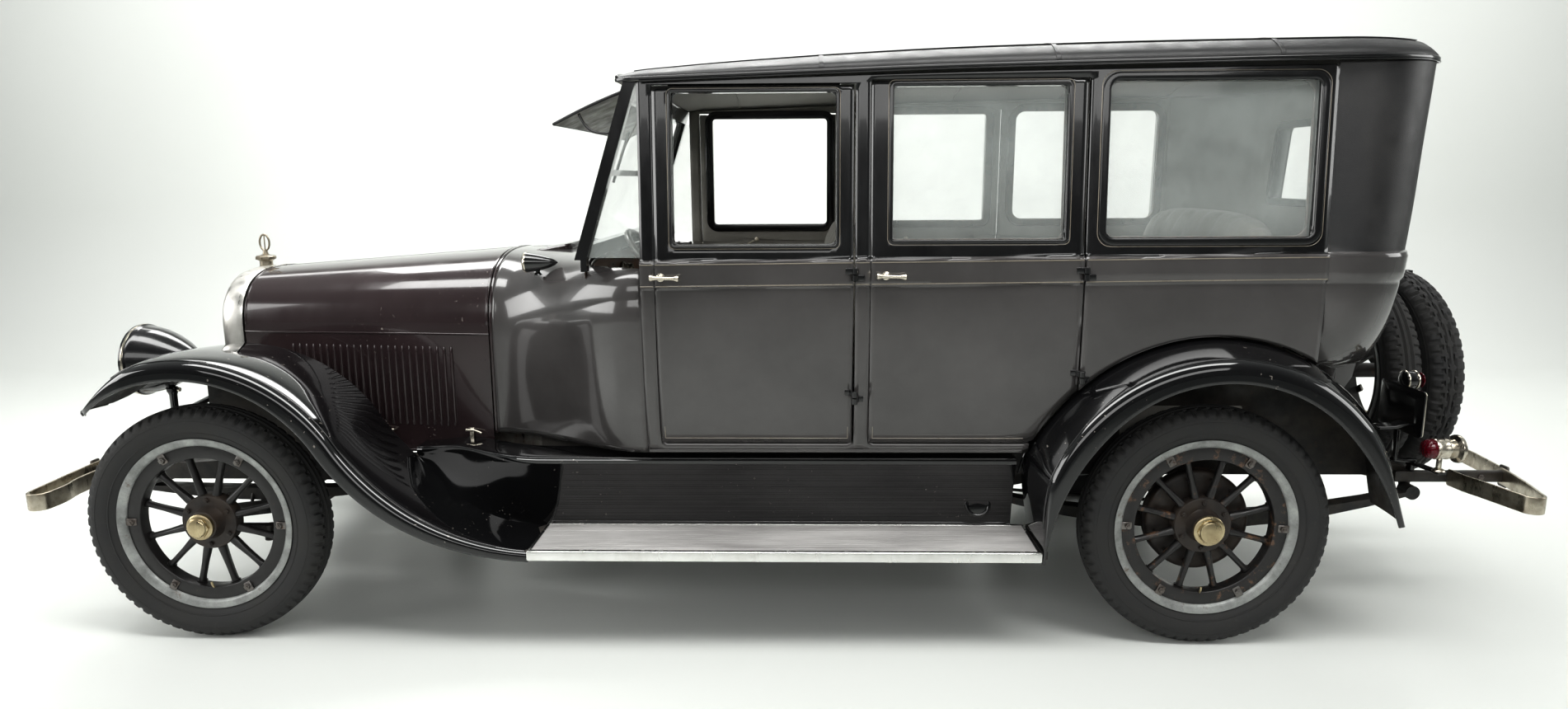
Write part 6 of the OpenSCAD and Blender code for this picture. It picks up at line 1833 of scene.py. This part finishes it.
class SEDAN_OT_inside(bpy.types.Operator):
    """Steering wheel, column, levers, pedals, instruments, carpets, mirror, trim and headlining seams"""

    bl_idname = "sedan.inside"
    bl_label = "Inside fittings"

    LOW, TOP = array([700.0, 380, 760]), array([150.0, 380, 1250])

    def execute(self, context):
        axis = unit(self.TOP - self.LOW)
        across = Y_AXIS
        high = np.cross(axis, across)
        wheel = Shape()
        t = 2 * pi * arange(72) / 72
        ring = self.TOP + 208 * (cos(t)[:, None] * across + sin(t)[:, None] * high)
        side = unit(ring - self.TOP)
        section = circle(1, 12) * [12.5, 11.5]
        grip = 1 + 0.05 * cos(t * 24)[:, None, None]
        wheel.grid(ring[:, None] + section[None, :, :1] * grip * side[:, None] + section[None, :,
            1:] * grip * axis, 0, wrap_u=True, wrap_v=True)
        for k in range(4):
            a = radians(45 + 90 * k)
            d = cos(a) * across + sin(a) * high
            u = linspace(0, 1, 12)
            path = self.TOP + np.outer(24 + 178 * u, d) + np.outer(-4 - 6 * sin(pi * u), axis)
            wheel.bar(path, 22, 10, 4, 1, up=axis, scale=1 - 0.3 * sin(pi * u))
        wheel.turned([[-26, 0], [-26, 24], [-20, 31], [8, 31], [14, 26], [16, 18], [22, 14], [24, 0]],
            self.TOP, axis, 36, 2)
        wheel.turned([[22, 0], [22, 10], [27, 9], [29, 0]], self.TOP, axis, 20, 3)
        wheel.rod([self.TOP - axis * 108, self.TOP - axis * 20], 11.5, 2, up=across)
        wheel.make("steering_wheel_parts", "steering_wheel", "black_paint", "wheelwood black nickel ivory",
            "steering_wheel")
        self.column(axis)
        self.panel()
        self.pedals()
        return {"FINISHED"}

    def column(self, axis):
        """The column's jacket, its quadrant with two levers, and the dash panel with its instruments."""
        shape = Shape()
        shape.turned([[0, 0], [0, 24], [600, 24], [604, 30], [640, 30], [650, 26], [684, 24], [700, 22],
            [704, 0]], self.LOW, axis, 32, 0)
        up = self.TOP - axis * 70
        high = np.cross(axis, Y_AXIS)
        for sgn in (-1, 1):
            shape.rod([up, up + sgn * 40 * Y_AXIS + 30 * high,
                up + sgn * 96 * Y_AXIS + 70 * high + 20 * axis], 4, 1, up=axis)
            shape.turned([[-9, 0], [-6, 8], [0, 10], [6, 8], [9, 0]],
                up + sgn * 98 * Y_AXIS + 71 * high + 20 * axis, Y_AXIS, 16, 2)
        x_dash = COWL_X - (COWL_X - (POST_X + 1)) * 5 / 8 - 22
        board = Shape()
        y = linspace(-640, 640, 61)
        z = linspace(1128, 1286, 15)
        gy, gz = net(y, z)
        curve_in = 5 * sin(pi * (gz - 1128) / 158)
        board.grid(points(x_dash - curve_in, gy, gz), 3, flip=True)
        shape.bar([(x_dash - 4, -640, 1124), (x_dash - 4, 640, 1124)], 16, 14, 5, 0)
        for yy, zz, r in ((0, 1212, 46), (-104, 1206, 34), (104, 1206, 34), (-190, 1206, 26),
                (190, 1206, 26)):
            c = (x_dash - 7, yy, zz)
            shape.hoop([[-4, r - 5], [4, r - 4], [8, r], [7, r + 5], [0, r + 7], [-4, r + 6]], c, -X_AXIS,
                40, 1)
            shape.turned([[3, 0], [3, r - 3], [1, r], [0, 0]], c, -X_AXIS, 36, 2)
            shape.bar([(x_dash - 11, yy, zz), (x_dash - 11, yy + r * 0.34, zz + r * 0.5)], 2.4, 1.6, 0.6,
                0, up=X_AXIS)
            face = array([x_dash - 10.6, yy, zz])
            for d in around(12, -pi / 6)[:9, [1, 0, 2]]:
                shape.bar([face + d * r * 0.74, face + d * r * 0.9], 1.6, 1.2, 0.4, 0, up=X_AXIS)
        for yy in (-260, 260, 300):
            shape.turned([[0, 0], [0, 10], [10, 9], [12, 14], [20, 15], [24, 8], [25, 0]],
                (x_dash - 6, yy, 1180), -X_AXIS, 20, 1)
        shape.make("column_and_instruments", "chassis", "wood", "black nickel ivory wood")
        board.make("dash_board_face", "chassis", "wood", "wood wood wood wood", recalc=False)

    def panel(self):
        """Cloth over the floor, quarters and ceiling: carpet with a soft edge, arm rests and welts."""
        rug = Shape()
        for x0, x1 in ((8, 430), (-1410, -606)):
            u, v = net(linspace(x0, x1, 30), linspace(-600, 600, 60))
            h = 7 * np.minimum(1, (1 - np.abs((u - (x0
                + x1) / 2) / ((x1 - x0) / 2)) ** 24) * (1 - np.abs(v / 600) ** 40) * 4)
            rug.grid(points(u, v, 681.5 + h + 0.8 * sin(u / 31) * sin(v / 43)), 0, flip=True)
        rug.make("carpets", "chassis", "cloth", "carpet", recalc=False)
        lining = Shape()
        for at in (-60, -560, -1060, -1560, -2060):
            y = linspace(-690, 690, 50)
            a = np.degrees(np.arcsin(clip(y / 748, -1, 1)))
            hollow = curve([0, 15, 30, 45, 60, 75, 90], [50, 48, 42, 30, 10, 0, 0], np.abs(a))
            c = smooth((180 - at) / 100) * smooth((at + 2400) / 100)
            lining.rod(points(at, y, drip_z(at) + hollow * c - 1.5), 3.4, 0)
        y0 = side_y(0, 1940) - WALL - 2
        for s in (-1, 1):
            x = linspace(120, -2060, 80)
            lining.rod(points(x, s * y0, drip_z(x) - 6), 5, 0)
        lamp = (-1000.0, 0, float(drip_z(-1000)) + 44)
        lining.turned([[0, 0], [0, 62], [-8, 66], [-12, 56], [-26, 46], [-34, 20], [-36, 0]], lamp, Z_AXIS,
            32, 1)
        lining.make("headlining_welts", "chassis", "cloth", "headlining ivory")
        quarter = Shape()
        garnish_frame(quarter, QUARTER_WINDOW, 30, 60, 7, 0)
        quarter.grid(cushion(-2040, -1440, 598, 690, 1010, 1090, n=4), 1, wrap_v=True)
        quarter.mirrored()
        quarter.make("quarter_garnish", "chassis", "cloth", "garnish cloth")

    def pedals(self):
        """Three pedals, the hand brake and gear levers, the mirror and the hand wiper."""
        shape = Shape()
        for y in (300, 420, 500):
            shape.rod([(470, y, 690), (430, y, 770), (392, y, 812)], 7, 0, up=Y_AXIS)
            shape.bar([(398, y, 790), (372, y, 838)], 60, 12, 4, 1, up=(-1, 0, 0.6))
        for y, x1, z1, r in ((20, 60, 1130, 9), (-40, 150, 1090, 8)):
            u = linspace(0, 1, 16)
            path = points(250 - (250 - x1) * u ** 1.3, y, 684 + (z1 - 684) * u)
            shape.rod(path, r, 2, up=Y_AXIS)
            shape.turned([[-20, 0], [-16, 13], [-4, 19], [10, 18], [20, 10], [23, 0]], path[-1], Z_AXIS,
                24, 3 if y > 0 else 2)
        shape.turned([[0, 0], [0, 52], [8, 50], [26, 30], [34, 20], [36, 0]], (250, 20, 681), Z_AXIS, 32, 3)
        mirror_at = array([196.0, 0, 1838])
        shape.bar([mirror_at + [0, -80, 0], mirror_at + [0, 80, 0]], 8, 52, 3.4, 0, up=Z_AXIS)
        shape.rod([mirror_at + [6, 0, 10], mirror_at + [22, 0, 60]], 5, 2, up=Y_AXIS)
        shape.make("pedals_and_levers", "chassis", "chassis_paint", "black rubber_trim nickel black")
        wiper = Shape()
        lean = unit([228 - 412, 0, 1911 - 1330])
        face = array([412.0, 300, 1330]) + [2, 0, 0]
        top = face + lean * 560
        wiper.turned([[-2, 0], [-2, 14], [8, 13], [12, 7], [13, 0]], top,
            unit(np.cross(lean, Y_AXIS)) * -1, 20, 0)
        wiper.rod([top + [8, 0, 0], top + [10, 30, -60], top - lean * 190 + [9, 86, 0]], 3, 0, up=Y_AXIS)
        wiper.bar([top - lean * 100 + [4, 72, 0], top - lean * 290 + [4, 100, 0]], 5, 10, 2, 1, up=X_AXIS)
        wiper.make("hand_wiper", "chassis", "black_paint", "nickel rubber_trim")


# ---------------------------------------------------------------- carried-over nodes, stage and main

NODE_FINISH = {
    "chassis": ["frame", "front_axle", "rear_axle", "leaf_springs", "fuel_tank", "spare_carrier",
        "knuckle_left", "knuckle_right", "tie_rod"],
    "steel": ["engine", "exhaust"],
    "black": ["windscreen_frame"],
    "glass": ["window_glass", "glass_rear_left", "glass_rear_right"],
    "comb": ["radiator_core"],
    "carpet": ["floor"],
    "wood": ["dashboard"],
}


class SEDAN_OT_frame_finish(bpy.types.Operator):
    """Give the frame's own solids that stay in view their finishes"""

    bl_idname = "sedan.frame_finish"
    bl_label = "Frame finishes"

    def execute(self, context):
        for finish, nodes in NODE_FINISH.items():
            for node in nodes:
                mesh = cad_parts[node].data
                mesh.materials.clear()
                mesh.materials.append(M[finish])
        return {"FINISHED"}


FRAME_SIDE_Y = 429.8


class SEDAN_OT_chassis_detail(bpy.types.Operator):
    """Spring clips, frame rivets and brake rods on the running gear"""

    bl_idname = "sedan.chassis_detail"
    bl_label = "Chassis detail"

    def execute(self, context):
        shape = Shape()
        for ahead, mid, y, z in ((True, AXLE_X, 400, 372), (False, -AXLE_X, 470, 330)):
            turn, lift = (46, -4) if ahead else (-46, 66)
            t = linspace(0, pi, 13)
            for at in (mid - 55, mid + 55):
                shape.rod(points(at, y + 34 * cos(t), z + lift + turn * sin(t)), 6, 0, up=X_AXIS)
        for at in arange(1200, -2300, -190.0):
            head = (at, FRAME_SIDE_Y, 500 if at > -1050 else 560)
            shape.turned([[0, 0], [0, 8], [3, 6.5], [4.5, 0]], head, Y_AXIS, 12, 0)
        shape.rod([(60, 300, 450), (-800, 330, 420), (-AXLE_X + 60, 560, 430)], 6, 0, up=Z_AXIS)
        shape.mirrored()
        shape.make("running_gear_detail", "chassis", "chassis_paint", "chassis")
        return {"FINISHED"}


class StageSettings(bpy.types.PropertyGroup):
    """The camera and the studio."""

    lens: FloatProperty(name="Lens", description="Focal length on a 36 mm film", default=21.54, min=15,
        max=120)
    distance: FloatProperty(name="Distance", description="From the car's middle line to the camera",
        default=3.873, unit="LENGTH")
    height: FloatProperty(name="Height", description="Of the camera over the floor", default=1.599,
        unit="LENGTH")
    aside: FloatProperty(name="Aside", description="The camera's place along the car", default=-0.0785,
        unit="LENGTH")
    yaw: FloatProperty(name="Yaw", description="Turn from square to the car", default=radians(-1.39),
        subtype="ANGLE")
    pitch: FloatProperty(name="Pitch", description="Tilt downwards", default=radians(9.56),
        subtype="ANGLE")
    roll: FloatProperty(name="Roll", description="Turn about the line of sight",
        default=radians(-0.30), subtype="ANGLE")
    floor_colour: colour("Floor", "Colour of the studio", (0.66, 0.675, 0.655))


class SEDAN_OT_stage(bpy.types.Operator):
    """Floor and wall in one curved sweep, soft overhead and side lights, and the camera"""

    bl_idname = "sedan.stage"
    bl_label = "Stage"

    def execute(self, context):
        look = context.scene.sedan_stage
        n = Nodes("studio_floor")
        cloud = n.noise(0.7, 3, 0.5)
        colour = tuple(look.floor_colour)
        base = n.mix(cloud, tuple(c * 0.97 for c in colour), colour)
        floor_material = n.done(Base_Color=base, Roughness=0.3, Specular_IOR_Level=0.35)
        clear = n.add("BsdfTransparent")
        behind = n.tree.nodes.new("ShaderNodeNewGeometry").outputs["Backfacing"]
        either = n.tree.nodes.new("ShaderNodeMixShader")
        n.tree.links.new(behind, either.inputs[0])
        n.tree.links.new(n.shader.outputs[0], either.inputs[1])
        n.tree.links.new(clear, either.inputs[2])
        out = next(node for node in n.tree.nodes if node.type == "OUTPUT_MATERIAL")
        n.tree.links.new(either.outputs[0], out.inputs["Surface"])
        x = linspace(-45, 45, 12)
        t = linspace(0, 1, 60)
        turn = clip((t - 0.55) / 0.2, 0, 1) * pi / 2
        reach, r = 3.7, 1.4
        y = np.where(t < 0.55, 45 - (45 + reach) * t / 0.55, -reach - r * sin(turn))
        z = np.where(t < 0.55, 0, r * (1 - cos(turn)) + np.maximum(0, t - 0.75) / 0.25 * 8)
        gx, gy = net(x, y)
        gz = np.broadcast_to(z, gx.shape)
        mesh = bpy.data.meshes.new("studio_sweep")
        shape = Shape()
        shape.grid(points(gx, gy, gz), flip=True)
        mesh.from_pydata(shape.points[0].tolist(), [], shape.faces[0].tolist())
        mesh.polygons.foreach_set("use_smooth", np.ones(len(mesh.polygons), bool))
        mesh.materials.append(floor_material)
        sweep = bpy.data.objects.new("studio_sweep", mesh)
        context.scene.collection.objects.link(sweep)
        self.lights(context)
        self.camera(context, look)
        return {"FINISHED"}

    def lights(self, context):
        """Long overhead softboxes that draw streaks on the fenders and hood, and fills from both sides."""
        for name, power, size, place, aim in (
            ("over_near", 205, (7.0, 1.1), (0.3, 1.7, 4.3), (0, 0.4, 0.6)),
            ("over_far", 205, (7.0, 1.0), (0.2, -1.9, 4.4), (0, 0, 0.6)),
            ("front_fill", 170, (4.4, 2.6), (7.2, 2.2, 2.6), (1.2, 0, 0.8)),
            ("rear_fill", 80, (3.4, 2.4), (-7.4, 1.4, 2.8), (-1.2, 0, 0.8)),
            ("near_fill", 120, (9.0, 1.6), (0.4, 6.4, 3.4), (0, 0, 0.9)),
            ("far_wall", 290, (15.0, 1.6), (0.0, -2.6, 4.6), (0, -4.6, 1.2)),
        ):
            light = bpy.data.lights.new(name, "AREA")
            light.shape = "RECTANGLE"
            light.size, light.size_y = size
            light.energy = power
            light.color = (1.0, 1.0, 0.985)
            o = bpy.data.objects.new(name, light)
            context.scene.collection.objects.link(o)
            o.location = place
            o.rotation_euler = (Vector(aim) - Vector(place)).to_track_quat("-Z", "Y").to_euler()
        world = bpy.data.worlds.new("studio_air")
        context.scene.world = world
        world.use_nodes = True
        back = next(node for node in world.node_tree.nodes if node.type == "BACKGROUND")
        back.inputs[0].default_value = (0.93, 0.97, 0.95, 1)
        tree = world.node_tree
        place = tree.nodes.new("ShaderNodeTexCoord").outputs["Generated"]
        apart = tree.nodes.new("ShaderNodeSeparateXYZ")
        tree.links.new(place, apart.inputs[0])
        near = tree.nodes.new("ShaderNodeMapRange")
        for socket, value in zip(near.inputs[1:5], (0.1, 0.85, 0.42, 0.1)):
            socket.default_value = value
        tree.links.new(apart.outputs[1], near.inputs[0])
        tree.links.new(near.outputs[0], back.inputs[1])
        context.scene.view_settings.view_transform = "Standard"
        context.scene.view_settings.look = "Medium High Contrast"

    def camera(self, context, look):
        """The line of sight comes from yaw, pitch and roll in turn, from square to the car's left side."""
        yaw, pitch, roll = look.yaw, look.pitch, look.roll
        ahead = array([sin(yaw), cos(yaw), 0])
        right = array([cos(yaw), -sin(yaw), 0])
        sight = ahead * cos(pitch) - Z_AXIS * sin(pitch)
        up = Z_AXIS * cos(pitch) + ahead * sin(pitch)
        right, up = right * cos(roll) + up * sin(roll), up * cos(roll) - right * sin(roll)
        flip = array([-1, -1, 1])
        data = bpy.data.cameras.new("camera")
        data.lens = look.lens
        data.sensor_width = 36
        data.shift_y = -0.0116
        data.clip_end = 100
        o = bpy.data.objects.new("camera", data)
        context.scene.collection.objects.link(o)
        o.matrix_world = Matrix(
            [[*row, 0] for row in zip(right * flip, up * flip, -sight * flip)] + [[0, 0, 0, 1]]
        )
        o.location = (look.aside, look.distance, look.height)
        context.scene.camera = o


STEPS = (
    "finishes", "frame_finish", "body_sides", "doors", "rear_body", "roof", "hood", "fenders", "boards",
    "radiator", "lamps", "bumpers", "wheels", "spares", "seats", "inside", "chassis_detail", "stage",
)


class SEDAN_PT_panel(bpy.types.Panel):
    """The car's sizes, colours and building steps"""

    bl_label = "Vintage sedan"
    bl_space_type = "VIEW_3D"
    bl_region_type = "UI"
    bl_category = "Sedan"

    def draw(self, context):
        for group in (context.scene.sedan_body, context.scene.sedan_wheels, context.scene.sedan_stage):
            for name in group.bl_rna.properties.keys():
                if name not in ("rna_type", "name"):
                    self.layout.prop(group, name)
        for step in STEPS:
            self.layout.operator("sedan." + step)


CLASSES = (
    BodySettings, WheelSettings, StageSettings, SEDAN_OT_finishes, SEDAN_OT_frame_finish, SEDAN_OT_body_sides,
    SEDAN_OT_doors, SEDAN_OT_rear_body, SEDAN_OT_roof, SEDAN_OT_hood, SEDAN_OT_fenders, SEDAN_OT_boards,
    SEDAN_OT_radiator, SEDAN_OT_lamps, SEDAN_OT_bumpers, SEDAN_OT_wheels, SEDAN_OT_spares, SEDAN_OT_seats,
    SEDAN_OT_inside, SEDAN_OT_chassis_detail, SEDAN_OT_stage, SEDAN_PT_panel,
)


def register():
    for cls in CLASSES:
        bpy.utils.register_class(cls)
    bpy.types.Scene.sedan_body = PointerProperty(type=BodySettings)
    bpy.types.Scene.sedan_wheels = PointerProperty(type=WheelSettings)
    bpy.types.Scene.sedan_stage = PointerProperty(type=StageSettings)


def unregister():
    del bpy.types.Scene.sedan_body
    del bpy.types.Scene.sedan_wheels
    del bpy.types.Scene.sedan_stage
    for cls in reversed(CLASSES):
        bpy.utils.unregister_class(cls)


def main():
    """Builds the whole car and its stage."""
    register()
    for step in STEPS:
        getattr(bpy.ops.sedan, step)()


if __name__ == "__main__":
    main()
